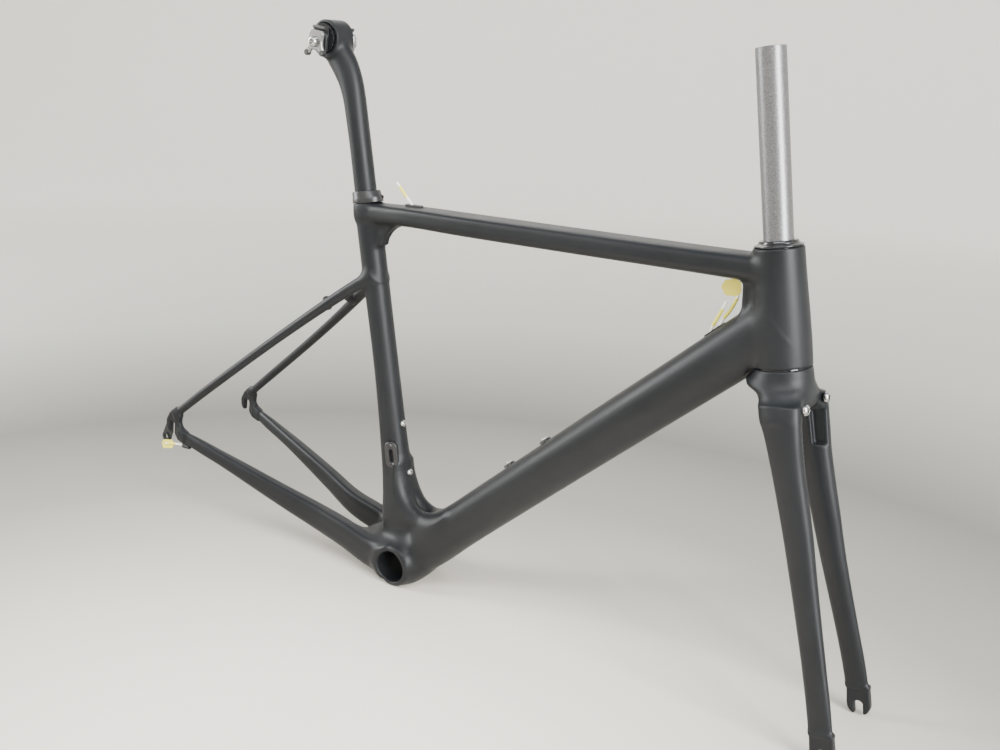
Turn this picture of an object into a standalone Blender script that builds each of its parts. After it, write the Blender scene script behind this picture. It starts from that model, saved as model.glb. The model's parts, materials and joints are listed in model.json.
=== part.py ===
"""A road bicycle frameset: monocoque frame, fork, headset, seatpost, and the pieces fixed to them.

Sizes are in millimetres and everything is laid out in the bike's own frame: origin in the middle of
the bottom bracket, +X forward, +Y to the rider's left, +Z up, both wheel axles level. At the end one
empty pitches the whole frameset nose down, until it rests on the bottom bracket and the fork tips.
"""

import math

import bmesh
import bpy
from mathutils import Matrix, Vector

MM = 0.001
GAP = 0.3                       # clearance between neighbouring solids

# Driving dimensions of the frameset
HEAD_ANGLE = 74.0
SEAT_ANGLE = 73.7
HEAD_TOP = (388.2, 513.05)      # x and z of the upper end of the head tube, on the steering axis
HEAD_LENGTH = 114.0
SEAT_TUBE_OFFSET = -7.3         # x where the seat tube's axis passes the bottom bracket
SEAT_TUBE_LENGTH = 454.0        # from that point up to the seat collar
DOWN_TUBE_ANGLE = 47.57
TOP_TUBE_SLOPE = 7.0
FORK_LENGTH = 370.0             # axle to crown race
FORK_RAKE = 45.0
RACE_HEIGHT = -3.0              # the crown race seat, measured from the head tube's lower end
STEERER_ABOVE_HEAD = 182.5
REAR_AXLE = (-401.5, 60.0)
SHELL_HALF_WIDTH = 43.25
SHELL_RADIUS = 27.0
SHELL_BORE = 20.5
REAR_HALF_SPACING = 65.0
FRONT_HALF_SPACING = 50.0
SEATPOST_RADIUS = 13.6
SEATPOST_FOOT = 304.0           # height of the seatpost's lower end along the seat axis
CLAMP_HEIGHT = 651.5            # height of the saddle clamp along the seat axis
CLAMP_SETBACK = 24.5
PINCH_DROP = 4.5                # the clamp's cross bolt, below the middle of its drum
BOTTLE_SPACING = 64.0
BRAKE_BOLT_SIDE = 28.0
LINER_RADIUS = 1.5
STAY_ANGLE = 46.4               # lean of the seatstays' upper side
HANGER_HOLE = (-17.0, -27.0)    # from the rear axle
DROPOUT_SLOT_HALF = 5.2
FORK_SLOT_HALF = 4.7
FORK_TIP_RADIUS = 12.5
CLAMP_RIBS = 24
RAIL_SIDE = 22.4                # the saddle rails, from the clamp's centre
RAIL_HEIGHT = 5.5
STANDING_PITCH = 7.55           # nose-down pitch on the ground, in degrees

LEFT = Vector((0.0, 1.0, 0.0))
UP = Vector((0.0, 0.0, 1.0))
FORWARD = Vector((1.0, 0.0, 0.0))
SIDES = ((1.0, "left"), (-1.0, "right"))


def rising(angle):
    """The unit vector up a tube that leans back at this angle to the ground."""
    return Vector((-math.cos(math.radians(angle)), 0.0, math.sin(math.radians(angle))))


def ahead_of(axis):
    """The unit vector in the side plane, at right angles to an axis and pointing forward."""
    return Vector((axis.z, 0.0, -axis.x))


HEAD_AXIS = rising(HEAD_ANGLE)
HEAD_AHEAD = ahead_of(HEAD_AXIS)
HEAD_FOOT = Vector((HEAD_TOP[0], 0.0, HEAD_TOP[1])) - HEAD_AXIS * HEAD_LENGTH
SEAT_AXIS = rising(SEAT_ANGLE)
SEAT_AHEAD = ahead_of(SEAT_AXIS)
SEAT_FOOT = Vector((SEAT_TUBE_OFFSET, 0.0, 0.0))
DOWN_AXIS = rising(180.0 - DOWN_TUBE_ANGLE)
DOWN_TOPSIDE = Vector((-DOWN_AXIS.z, 0.0, DOWN_AXIS.x))
TOP_TOPSIDE = rising(90.0 - TOP_TUBE_SLOPE)
TOP_AXIS = ahead_of(TOP_TOPSIDE)
AXLE_HEIGHT = RACE_HEIGHT - math.sqrt(FORK_LENGTH**2 - FORK_RAKE**2)


def on_head(ahead, height, side=0.0):
    return HEAD_FOOT + HEAD_AHEAD * ahead + HEAD_AXIS * height + LEFT * side


def on_seat(ahead, height, side=0.0):
    return SEAT_FOOT + SEAT_AHEAD * ahead + SEAT_AXIS * height + LEFT * side


def on_down_tube(height, topside=0.0, side=0.0):
    return Vector((0.0, 0.0, -1.7)) + DOWN_AXIS * height + DOWN_TOPSIDE * topside + LEFT * side


def axes_matrix(origin, z_axis, x_axis):
    """A placement whose local Z and X run along the two given directions."""
    z = z_axis.normalized()
    x = (x_axis - z * x_axis.dot(z)).normalized()
    y = z.cross(x)
    matrix = Matrix((x, y, z)).transposed().to_4x4()
    matrix.translation = origin
    return matrix


HEAD_FRAME = axes_matrix(HEAD_FOOT, HEAD_AXIS, HEAD_AHEAD)
SEAT_FRAME = axes_matrix(SEAT_FOOT, SEAT_AXIS, SEAT_AHEAD)
CLAMP_CENTRE = on_seat(-CLAMP_SETBACK, CLAMP_HEIGHT)
CLAMP_FRAME = Matrix.Translation(CLAMP_CENTRE)
BIKE_FRAME = Matrix.Identity(4)

# ---------------------------------------------------------------- scene, groups and materials


def clear_scene():
    for item in list(bpy.data.objects):
        bpy.data.objects.remove(item, do_unlink=True)


def make_material(name, colour, roughness, metallic=0.0):
    material = bpy.data.materials.new(name)
    material.use_nodes = True
    shader = material.node_tree.nodes["Principled BSDF"]
    shader.inputs["Base Color"].default_value = (*colour, 1.0)
    shader.inputs["Roughness"].default_value = roughness
    shader.inputs["Metallic"].default_value = metallic
    return material


def make_group(name, matrix, parent):
    """An empty that carries one rigid body; its matrix is a placement in the bike's own frame."""
    empty = bpy.data.objects.new(name, None)
    empty.empty_display_size = 0.05
    bpy.context.collection.objects.link(empty)
    empty["placement"] = [value for row in matrix for value in row]
    empty.parent = parent
    local = metres(group_matrix(parent).inverted() @ matrix) if parent else Matrix.Identity(4)
    empty.matrix_basis = local
    return empty


def group_matrix(empty):
    values = list(empty["placement"])
    return Matrix([values[row * 4:row * 4 + 4] for row in range(4)])


def metres(matrix):
    scaled = matrix.copy()
    scaled.translation = matrix.translation * MM
    return scaled


def add_solid(name, shape, material, group, placement=BIKE_FRAME, smooth=True):
    """Turn a bmesh in millimetres into a named object of a group, its origin at the placement."""
    bmesh.ops.recalc_face_normals(shape, faces=shape.faces)
    bmesh.ops.scale(shape, vec=(MM, MM, MM), verts=shape.verts)
    mesh = bpy.data.meshes.new(name)
    shape.to_mesh(mesh)
    shape.free()
    if smooth:
        mesh.shade_smooth()
        mesh.set_sharp_from_angle(angle=math.radians(40))
    solid = bpy.data.objects.new(name, mesh)
    bpy.context.collection.objects.link(solid)
    solid.parent = group
    solid.matrix_basis = metres(group_matrix(group).inverted() @ placement)
    if material:
        mesh.materials.append(material)
    return solid


def add_cutter(name, shape, group, placement=BIKE_FRAME):
    cutter = add_solid(name, shape, None, group, placement, smooth=False)
    cutter.hide_render = True
    cutter.display_type = "WIRE"
    return cutter


def combine(solid, other, operation="DIFFERENCE"):
    modifier = solid.modifiers.new(other.name, "BOOLEAN")
    modifier.operation = operation
    modifier.solver = "EXACT"
    modifier.object = other


# ---------------------------------------------------------------- shape builders (bmesh, millimetres)


def bridge(shape, first, second):
    """Faces between two rings of the same number of points."""
    count = len(first)
    for index in range(count):
        after = (index + 1) % count
        shape.faces.new((first[index], first[after], second[after], second[index]))


def section(station, inset, count):
    """Points round a superellipse; a station is (centre, topside, half width, half depth, power)."""
    centre, topside, half_width, half_depth, power = station
    points = []
    for step in range(count):
        angle = 2.0 * math.pi * (step + 0.5) / count
        cosine, sine = math.cos(angle), math.sin(angle)
        across = (half_width - inset) * math.copysign(abs(cosine) ** (2.0 / power), cosine)
        deep = (half_depth - inset) * math.copysign(abs(sine) ** (2.0 / power), sine)
        points.append(centre + LEFT * across + topside * deep)
    return points


def tube(stations, count, wall=0.0):
    """A lofted tube through the stations: solid when wall is 0, else open at both ends."""
    shape = bmesh.new()
    outer = [[shape.verts.new(p) for p in section(s, 0.0, count)] for s in stations]
    for first, second in zip(outer, outer[1:]):
        bridge(shape, first, second)
    if wall:
        inner = [[shape.verts.new(p) for p in section(s, wall, count)] for s in stations]
        for first, second in zip(inner, inner[1:]):
            bridge(shape, second, first)
        bridge(shape, inner[0], outer[0])
        bridge(shape, outer[-1], inner[-1])
    else:
        shape.faces.new(outer[0])
        shape.faces.new(outer[-1])
    return shape


def turned(profile, count):
    """Spin an outline of (radius, height) points round Z. A point of radius 0 closes the shape."""
    shape = bmesh.new()
    rings = []
    for radius, height in profile:
        if radius == 0.0:
            rings.append([shape.verts.new((0.0, 0.0, height))])
            continue
        ring = []
        for step in range(count):
            angle = 2.0 * math.pi * (step + 0.5) / count
            ring.append(shape.verts.new((radius * math.cos(angle), radius * math.sin(angle), height)))
        rings.append(ring)
    pairs = list(zip(rings, rings[1:]))
    if len(rings[0]) > 1:
        pairs.append((rings[-1], rings[0]))
    for first, second in pairs:
        if len(first) == 1 or len(second) == 1:
            tip, ring = (first[0], second) if len(first) == 1 else (second[0], first)
            for index in range(count):
                shape.faces.new((tip, ring[index], ring[(index + 1) % count]))
        else:
            bridge(shape, first, second)
    return shape


def prism(outline, low, high):
    """Extrude an outline of (x, y) points along Z."""
    shape = bmesh.new()
    bottom = [shape.verts.new((x, y, low)) for x, y in outline]
    top = [shape.verts.new((x, y, high)) for x, y in outline]
    bridge(shape, bottom, top)
    shape.faces.new(bottom)
    shape.faces.new(top)
    return shape


def arc(centre, radius, start, end, steps):
    points = []
    for step in range(steps + 1):
        angle = math.radians(start + (end - start) * step / steps)
        points.append((centre[0] + radius * math.cos(angle), centre[1] + radius * math.sin(angle)))
    return points


def stadium(length, width, steps=6):
    """A slot-shaped outline along X, with round ends."""
    reach = (length - width) / 2.0
    front = arc((reach, 0.0), width / 2.0, -90.0, 90.0, steps)
    back = arc((-reach, 0.0), width / 2.0, 90.0, 270.0, steps)
    return front + back


def side_plane(origin):
    """A placement in the side plane: local X forward, local Y up, local Z towards the rider's right."""
    return axes_matrix(origin, -LEFT, FORWARD)


def plate(outline, inner, outer, side):
    """A flat plate in the side plane, from one distance outboard of its origin to another."""
    low, high = sorted((-side * inner, -side * outer))
    return prism(outline, low, high)


def button_bolt(head_radius, head_height, shank_radius, shank_length):
    """A domed bolt: head above local Z 0 and shank below it."""
    return turned([(0.0, -shank_length), (shank_radius, -shank_length), (shank_radius, 0.0),
                   (head_radius, 0.0), (head_radius, head_height * 0.4),
                   (head_radius * 0.7, head_height * 0.85), (0.0, head_height)], 12)


# ---------------------------------------------------------------- the frame


def head_profile(growth=0.0):
    """The head tube's outer outline, as (radius, height) points from its lower end up."""
    return [(27.5 + growth, 0.0), (27.5 + growth, 14.0), (26.6 + growth, 42.0),
            (25.0 + growth, 78.0), (23.8 + growth, HEAD_LENGTH)]


def add_head_tube(group, carbon):
    bore = [(20.9, HEAD_LENGTH), (20.9, 106.0), (17.5, 105.0), (17.5, 62.0),
            (22.5, 24.0), (22.5, 8.2), (26.2, 8.2), (26.2, 0.0)]
    add_solid("head_tube", turned(head_profile() + bore, 28), carbon, group, HEAD_FRAME)


def head_clearance():
    """The head tube's outside plus the conical pocket that the turning fork crown needs."""
    pocket = [(0.0, -90.0), (41.0, -90.0), (41.0, -18.0), (34.0, -5.3), (27.9, -0.6)]
    outside = head_profile(GAP)[1:]
    above = [(24.1, HEAD_LENGTH + 14.0), (0.0, HEAD_LENGTH + 14.0)]
    return turned(pocket + outside + above, 28)


def add_top_tube(group, carbon, head_cutter, seat_cutter):
    sizes = [(-134.0, 425.2, 14.5, 12.3, 2.4), (-104.0, 429.0, 16.5, 12.2, 2.8),
             (-62.0, 435.4, 20.0, 12.0, 3.2), (10.0, 443.8, 21.7, 12.4, 3.2), (160.0, 462.0, 22.0, 12.6, 3.2),
             (310.0, 480.7, 22.2, 12.9, 3.0), (394.0, 491.4, 21.5, 14.0, 2.6)]
    stations = [(Vector((x, 0.0, z)), TOP_TOPSIDE, wide, deep, power)
                for x, z, wide, deep, power in sizes]
    solid = add_solid("top_tube", tube(stations, 20, wall=2.4), carbon, group)
    combine(solid, head_cutter)
    combine(solid, seat_cutter)
    return solid


def add_down_tube(group, carbon, head_cutter):
    sizes = [(42.6, 0.0, 30.0, 29.0, 2.4), (100.0, 0.6, 27.5, 28.2, 2.3), (220.0, 0.9, 26.0, 28.0, 2.2),
             (380.0, 0.8, 25.5, 28.2, 2.2), (500.0, 0.2, 25.0, 28.4, 2.2), (604.5, 0.0, 24.5, 29.0, 2.2)]
    stations = [(on_down_tube(height, topside), DOWN_TOPSIDE, wide, deep, power)
                for height, topside, wide, deep, power in sizes]
    solid = add_solid("down_tube", tube(stations, 24, wall=2.4), carbon, group)
    combine(solid, head_cutter)
    return solid


def seat_tube_stations(growth=0.0):
    sizes = [(55.9, 25.0, 19.5, 2.4), (80.0, 21.5, 19.0, 2.2), (110.0, 19.0, 18.5, 2.0),
             (150.0, 17.0, 17.0, 2.0), (225.0, 16.0, 16.0, 2.0), (400.0, 16.4, 16.4, 2.0),
             (SEAT_TUBE_LENGTH, 17.0, 17.0, 2.0)]
    return [(on_seat(0.0, height), SEAT_AHEAD, wide + growth, deep + growth, power)
            for height, wide, deep, power in sizes]


def seat_clearance():
    """The seat tube's outside, grown by the gap and carried on past its upper end."""
    stations = seat_tube_stations(GAP)
    _centre, topside, wide, deep, power = stations[-1]
    return tube(stations + [(on_seat(0.0, SEAT_TUBE_LENGTH + 30.0), topside, wide, deep, power)], 24)


def add_seat_tube(group, carbon):
    """The seat tube, bored all the way down to take the seatpost."""
    shape = bmesh.new()
    stations = seat_tube_stations()
    outer = [[shape.verts.new(p) for p in section(s, 0.0, 24)] for s in stations]
    for first, second in zip(outer, outer[1:]):
        bridge(shape, first, second)
    radius = SEATPOST_RADIUS + GAP
    bore = []
    for centre, topside, _wide, _deep, _power in (stations[0], stations[-1]):
        ring = section((centre, topside, radius, radius, 2.0), 0.0, 24)
        bore.append([shape.verts.new(p) for p in ring])
    bridge(shape, bore[1], bore[0])
    bridge(shape, bore[0], outer[0])
    bridge(shape, outer[-1], bore[1])
    return add_solid("seat_tube", shape, carbon, group)


def add_bottom_bracket(group, carbon):
    """The bottom bracket cluster: a wide hollow shell whose flanks draw in towards each tube's foot."""
    outline = [(-46.0, 19.5, 41.0), (-46.0, 0.0, 42.5), (-46.0, -21.0, 42.0), (-32.0, -24.0, 43.0)]
    outline += [(x, z, 43.0) for x, z in arc((0.0, 0.0), SHELL_RADIUS, 240.0, 320.0, 8)]
    outline += [(36.0, -3.1, 36.0), (49.7, 9.7, 30.0), (37.0, 21.5, 31.0), (23.0, 34.0, 31.0),
                (6.9, 48.9, 29.0), (-5.7, 58.3, 23.0), (-18.0, 54.7, 26.0), (-31.0, 50.9, 26.0),
                (-43.1, 47.3, 23.0), (-45.0, 33.0, 32.0)]
    shape = bmesh.new()
    rings = []
    for side in (-1.0, 1.0):
        hollow, seat, bore, face, edge = [], [], [], [], []
        for x, z, half_width in outline:
            away = Vector((x, 0.0, z)).normalized()
            reach = math.hypot(x, z)
            hollow.append(shape.verts.new(away * (reach - 3.4) + LEFT * side * (half_width - 5.0)))
            seat.append(shape.verts.new(away * SHELL_BORE + LEFT * side * (SHELL_HALF_WIDTH - 8.0)))
            bore.append(shape.verts.new(away * SHELL_BORE + LEFT * side * SHELL_HALF_WIDTH))
            face.append(shape.verts.new(away * (SHELL_RADIUS - 1.5) + LEFT * side * SHELL_HALF_WIDTH))
            edge.append(shape.verts.new(Vector((x, side * half_width, z))))
        rings += [hollow, seat, bore, face, edge] if side < 0 else [edge, face, bore, seat, hollow]
    for first, second in zip(rings, rings[1:] + rings[:1]):
        bridge(shape, first, second)
    add_solid("bb_shell", shape, carbon, group)


def add_stays(group, carbon, seat_cutter):
    """Chainstays and seatstays, one of each to a side; their sections stay square to the side plane."""
    chain_sizes = [(-46.3, 32.5, -1.5, 11.0, 20.0), (-90.0, 32.5, 4.2, 10.8, 19.0),
                   (-135.0, 33.5, 8.2, 10.6, 17.8), (-200.0, 44.0, 19.4, 10.0, 15.2),
                   (-300.0, 58.5, 36.7, 8.4, 10.6), (-375.0, 68.0, 47.6, 4.0, 8.0)]
    seat_sizes = [(-391.2, 67.2, 82.2, 4.6, 6.0), (-350.0, 63.5, 122.4, 5.6, 6.2),
                  (-300.0, 57.4, 170.0, 5.8, 6.2), (-250.0, 49.8, 217.6, 5.9, 6.3),
                  (-200.0, 39.1, 265.2, 6.2, 6.7), (-160.0, 27.6, 303.4, 6.8, 7.2),
                  (-130.0, 16.5, 331.5, 7.2, 7.8), (-109.0, 8.8, 349.8, 7.8, 8.4)]
    seatstay_topside = rising(STAY_ANGLE)
    for side, label in SIDES:
        stations = [(Vector((x, side * y, z)), UP, wide, deep, 2.6) for x, y, z, wide, deep in chain_sizes]
        add_solid(f"chainstay_{label}", tube(stations, 16, wall=1.6), carbon, group)
        stations = [(Vector((x, side * y, z)), seatstay_topside, wide, deep, 2.0)
                    for x, y, z, wide, deep in seat_sizes]
        solid = add_solid(f"seatstay_{label}", tube(stations, 14, wall=1.6), carbon, group)
        combine(solid, seat_cutter)


def add_rear_dropouts(group, carbon, black, steel):
    """Hooked plates with a slot that opens downward; the right one backs the derailleur hanger."""
    slot = [(-DROPOUT_SLOT_HALF, 0.0)] + arc((0.0, 0.0), DROPOUT_SLOT_HALF, 180.0, 0.0, 6)[1:]
    hook = [(-13.0, 3.0), (-12.6, -6.0), (-9.5, -13.0), (-DROPOUT_SLOT_HALF, -15.0)] + slot
    hook += [(DROPOUT_SLOT_HALF, -12.5), (8.5, -17.0), (15.0, -20.0), (26.0, -20.6), (26.0, -5.4),
             (18.5, -1.0), (14.5, 6.0), (15.0, 15.4), (4.9, 26.2), (-7.0, 15.5)]
    places = {label: side_plane(Vector((REAR_AXLE[0], side * REAR_HALF_SPACING, REAR_AXLE[1])))
              for side, label in SIDES}
    dropouts = {label: add_solid(f"dropout_rear_{label}", plate(hook, inner, 7.0, side), carbon, group,
                                 places[label], smooth=False)
                for (side, label), inner in zip(SIDES, (0.0, 3.4))}
    add_hanger(group, places["right"], slot, black)
    spot = places["right"] @ Matrix.Translation((-4.2, 9.2, 0.0))
    recess = turned([(0.0, 5.3), (3.3, 5.3), (3.3, 9.0), (0.0, 9.0)], 12)
    combine(dropouts["right"], add_cutter("cut_hanger_screw", recess, group, spot))
    screw = turned([(0.0, 5.6), (2.9, 5.6), (2.9, 6.6), (0.0, 6.9)], 12)
    add_solid("hanger_screw", screw, steel, group, spot)


def add_hanger(group, place, slot, black):
    """The replaceable hanger, on the right dropout's inner face, with the derailleur's threaded hole."""
    outline = [(-12.5, 3.0), (-17.5, -6.0), (-25.0, -24.0)] + arc(HANGER_HOLE, 8.0, 160.0, 340.0, 8)
    outline += [(-DROPOUT_SLOT_HALF, -16.0)] + slot
    outline += [(DROPOUT_SLOT_HALF, -6.0), (11.0, -4.0), (12.0, 6.0), (4.0, 12.5), (-6.0, 12.0)]
    solid = add_solid("derailleur_hanger", plate(outline, 0.0, 3.1, -1.0), black, group, place, smooth=False)
    spot = place @ Matrix.Translation((*HANGER_HOLE, 0.0))
    boss = turned([(0.0, 1.0), (7.4, 1.0), (7.4, 4.5), (0.0, 4.5)], 16)
    combine(solid, add_cutter("add_hanger_boss", boss, group, spot), "UNION")
    hole = turned([(0.0, -3.0), (4.6, -3.0), (4.6, 7.0), (0.0, 7.0)], 16)
    combine(solid, add_cutter("cut_hanger_hole", hole, group, spot))


def add_brake_bosses(group, carbon):
    """Short round bosses behind and inboard of the seatstays, for a direct-mount brake."""
    for side, label in SIDES:
        aim = Vector((-0.78, -0.42 * side, 0.46)).normalized()
        base = Vector((-165.5, 22.9 * side, 298.7))
        boss = turned([(2.1, 6.0), (5.4, 6.0), (5.8, 13.4), (5.2, 14.4), (2.1, 14.4)], 14)
        add_solid(f"rear_brake_boss_{label}", boss, carbon, group, axes_matrix(base, aim, UP))


def add_bottle_bolts(group, black, steel):
    """Two bolts on the seat tube's front, and two on raised bosses on the down tube's upper side."""
    for index in range(2):
        height = 112.0 + BOTTLE_SPACING * index
        reach = (18.5, 16.75)[index]
        place = axes_matrix(on_seat(reach + GAP, height), SEAT_AHEAD, SEAT_AXIS)
        add_solid(f"bottle_bolt_seat_{index + 1}", button_bolt(4.3, 3.0, 2.4, 0.2), steel, group, place)
        height = 221.0 + BOTTLE_SPACING * index
        place = axes_matrix(on_down_tube(height, 29.0), DOWN_TOPSIDE, DOWN_AXIS)
        ring = [(7.6, 0.5), (6.8, 2.4), (4.7, 2.4), (4.7, 2.1), (2.6, 2.1), (2.6, 0.5)]
        add_solid(f"bottle_boss_down_{index + 1}", turned(ring, 16), black, group, place)
        place = axes_matrix(on_down_tube(height, 31.5), DOWN_TOPSIDE, DOWN_AXIS)
        add_solid(f"bottle_bolt_down_{index + 1}", button_bolt(4.2, 2.4, 2.2, 2.0), steel, group, place)


def plug_port(name, place, length, width, bores, tube_solid, group, rubber):
    """A stadium-shaped grommet pressed into a matching opening in a tube's wall, bored for its liners."""
    body = add_solid(name, prism(stadium(length, width), -3.2, 1.6), rubber, group, place)
    window = prism(stadium(length + 2 * GAP, width + 2 * GAP), -9.0, 9.0)
    combine(tube_solid, add_cutter(f"cut_{name}", window, group, place))
    radius = LINER_RADIUS + 0.4
    for index, (mouth, aim) in enumerate(bores):
        bore = turned([(0.0, -11.0), (radius, -11.0), (radius, 9.0), (0.0, 9.0)], 12)
        combine(body, add_cutter(f"cut_{name}_{index + 1}", bore, group, axes_matrix(mouth, aim, LEFT)))


def add_liner(name, mouth, aim, bends, group, nylon):
    """A thin plastic cable liner: straight through its port's mouth, then on through the bends."""
    points = [mouth - aim * 12.0, mouth - aim * 6.0, mouth, mouth + aim * 8.0]
    points += [Vector(bend) for bend in bends]
    curve = bpy.data.curves.new(name, "CURVE")
    curve.dimensions = "3D"
    curve.bevel_depth = LINER_RADIUS * MM
    curve.bevel_resolution = 2
    curve.use_fill_caps = True
    curve.render_resolution_u = 0
    route = smooth_route(points, 3)
    spline = curve.splines.new("POLY")
    spline.points.add(len(route) - 1)
    for point, place in zip(spline.points, route):
        point.co = (*(place * MM), 1.0)
    liner = bpy.data.objects.new(name, curve)
    curve.materials.append(nylon)
    bpy.context.collection.objects.link(liner)
    liner.parent = group
    return liner


def smooth_route(points, steps):
    """Catmull-Rom points through a route."""
    padded = [points[0] * 2 - points[1]] + points + [points[-1] * 2 - points[-2]]
    route = []
    for a, b, c, d in zip(padded, padded[1:], padded[2:], padded[3:]):
        for step in range(steps):
            t = step / steps
            route.append(0.5 * (2 * b + (c - a) * t + (2 * a - 5 * b + 4 * c - d) * t * t
                                + (3 * b - a - 3 * c + d) * t**3))
    return route + [points[-1]]


def add_cable_entries(group, top_tube, down_tube, seat_tube, rubber, nylon):
    """The grommets where cables go inside, and the loose ends of the liners that wait in them."""
    mouth = Vector((-63.0, 0.0, 449.2))
    aim = Vector((-0.80, 0.0, 0.60))
    place = axes_matrix(Vector((-60.0, 0.0, 448.4)), TOP_TOPSIDE, TOP_AXIS)
    plug_port("port_top_tube", place, 26.0, 9.0, [(mouth, aim)], top_tube, group, rubber)
    add_liner("liner_rear_brake", mouth, aim, [(-81.0, 1.0, 462.0), (-92.0, 2.0, 470.0)], group, nylon)

    mouths = (on_down_tube(534.0, 28.6), on_down_tube(546.0, 28.8))
    aims = (Vector((0.12, -0.03, 0.99)).normalized(), Vector((0.20, 0.02, 0.98)).normalized())
    place = axes_matrix(on_down_tube(540.0, 28.0), DOWN_TOPSIDE, DOWN_AXIS)
    plug_port("port_down_tube", place, 27.0, 11.0, list(zip(mouths, aims)), down_tube, group, rubber)
    add_liner("liner_shift_1", mouths[0], aims[0], [(345.5, -1.5, 435.0), (350.0, -2.5, 448.5)], group, nylon)
    add_liner("liner_shift_2", mouths[1], aims[1], [(354.5, 1.0, 441.0), (359.0, 1.5, 456.0)], group, nylon)

    outward = (SEAT_AHEAD * 0.5 - LEFT * 0.86).normalized()
    place = axes_matrix(on_seat(0.0, 83.0) + outward * 19.9, outward, SEAT_AXIS)
    plug_port("port_seat_tube", place, 9.0, 7.0, [], seat_tube, group, rubber)

    mouth = Vector((-381.0, -67.5, 32.8))
    aim = Vector((-0.985, -0.10, -0.14)).normalized()
    barrel = turned([(1.9, -13.5), (3.0, -13.5), (3.6, -12.0), (3.6, -1.0), (3.2, 0.0), (1.9, 0.0)], 14)
    add_solid("port_chainstay", barrel, rubber, group, axes_matrix(mouth, aim, LEFT))
    add_liner("liner_derailleur", mouth, aim, [(-402.0, -69.7, 28.4), (-416.0, -70.3, 23.6)], group, nylon)


def add_front_derailleur_mount(group, seat_cutter, black, steel):
    """A slotted plate bedded on the seat tube's right side, with a rivet at each end."""
    outward = (SEAT_AHEAD * 0.4 - LEFT * 0.917).normalized()
    place = axes_matrix(on_seat(0.0, 139.0) + outward * 15.4, outward, SEAT_AXIS)
    plate = add_solid("front_derailleur_mount", prism(stadium(34.0, 16.0), 0.0, 5.6), black, group, place)
    combine(plate, seat_cutter)
    slot = prism(stadium(17.0, 5.6), -4.0, 9.0)
    combine(plate, add_cutter("cut_mount_slot", slot, group, place @ Matrix.Translation((-1.0, 0.0, 0.0))))
    for index, along in enumerate((12.0, -12.5)):
        rivet = place @ Matrix.Translation((along, 0.0, 5.6 + GAP))
        add_solid(f"mount_rivet_{index + 1}", button_bolt(2.4, 1.2, 1.2, 0.05), steel, group, rivet)


def add_collar(group, black, steel):
    """The seat collar: a split ring, fuller in front where a pinch bolt draws it together from the left."""
    base = SEAT_TUBE_LENGTH + GAP
    ring = [(SEATPOST_RADIUS + 0.35, base), (17.6, base), (17.6, base + 5.0), (16.9, base + 6.0),
            (16.9, base + 13.2), (16.2, base + 14.0), (SEATPOST_RADIUS + 0.35, base + 14.0)]
    solid = add_solid("seat_collar", turned(ring, 24), black, group, SEAT_FRAME)
    ear = prism([(15.5, 1.0), (22.6, 1.0), (20.4, 12.4), (15.5, 12.4)], -6.0, 6.0)
    side_on = axes_matrix(on_seat(0.0, base), -LEFT, SEAT_AHEAD)
    combine(solid, add_cutter("add_collar_ear", ear, group, side_on), "UNION")
    slit = prism([(12.0, -0.8), (27.0, -0.8), (27.0, 0.8), (12.0, 0.8)], base - 3.0, base + 17.0)
    combine(solid, add_cutter("cut_collar_slit", slit, group, SEAT_FRAME))
    across = axes_matrix(on_seat(19.4, base + 5.0), LEFT, SEAT_AXIS)
    hole = turned([(0.0, -12.0), (1.8, -12.0), (1.8, 12.0), (0.0, 12.0)], 12)
    combine(solid, add_cutter("cut_collar_hole", hole, group, across))
    place = across @ Matrix.Translation((0.0, 0.0, 6.4))
    add_solid("seat_collar_bolt", button_bolt(2.6, 2.4, 1.5, 11.0), steel, group, place)


def add_headset(frame_group, fork_group, black, steel):
    """Bearings stay with the head tube; the race, the wedge ring and the cover turn with the fork."""
    pieces = [
        ("headset_lower_bearing", [(20.2, 0.6), (25.9, 0.6), (25.9, 7.6), (20.2, 7.6)], steel, frame_group),
        ("headset_upper_bearing", [(17.6, 106.4), (20.6, 106.4), (20.6, 113.4), (17.6, 113.4)], steel,
         frame_group),
        ("headset_crown_race", [(19.6, -3.7), (25.4, -3.7), (24.6, 0.2), (19.6, 0.2)], steel, fork_group),
        ("headset_wedge_ring", [(14.7, 108.0), (17.2, 108.0), (17.2, 115.1), (14.7, 115.1)], steel, fork_group),
        ("headset_cover", [(17.7, 114.5), (23.2, 114.5), (23.2, 116.9), (21.6, 117.6), (19.0, 118.0),
                           (18.4, 120.6), (14.7, 120.6), (14.7, 115.6), (17.7, 115.6)], black, fork_group),
    ]
    for name, profile, material, group in pieces:
        add_solid(name, turned(profile, 24), material, group, HEAD_FRAME)


# ---------------------------------------------------------------- the fork


def add_steerer(group, bare):
    top = HEAD_LENGTH + STEERER_ABOVE_HEAD
    profile = [(14.3, top), (14.3, 60.0), (19.05, 20.0), (19.05, -34.0), (12.0, -34.0), (12.0, top)]
    add_solid("steerer", turned(profile, 28), bare, group, HEAD_FRAME)


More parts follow.
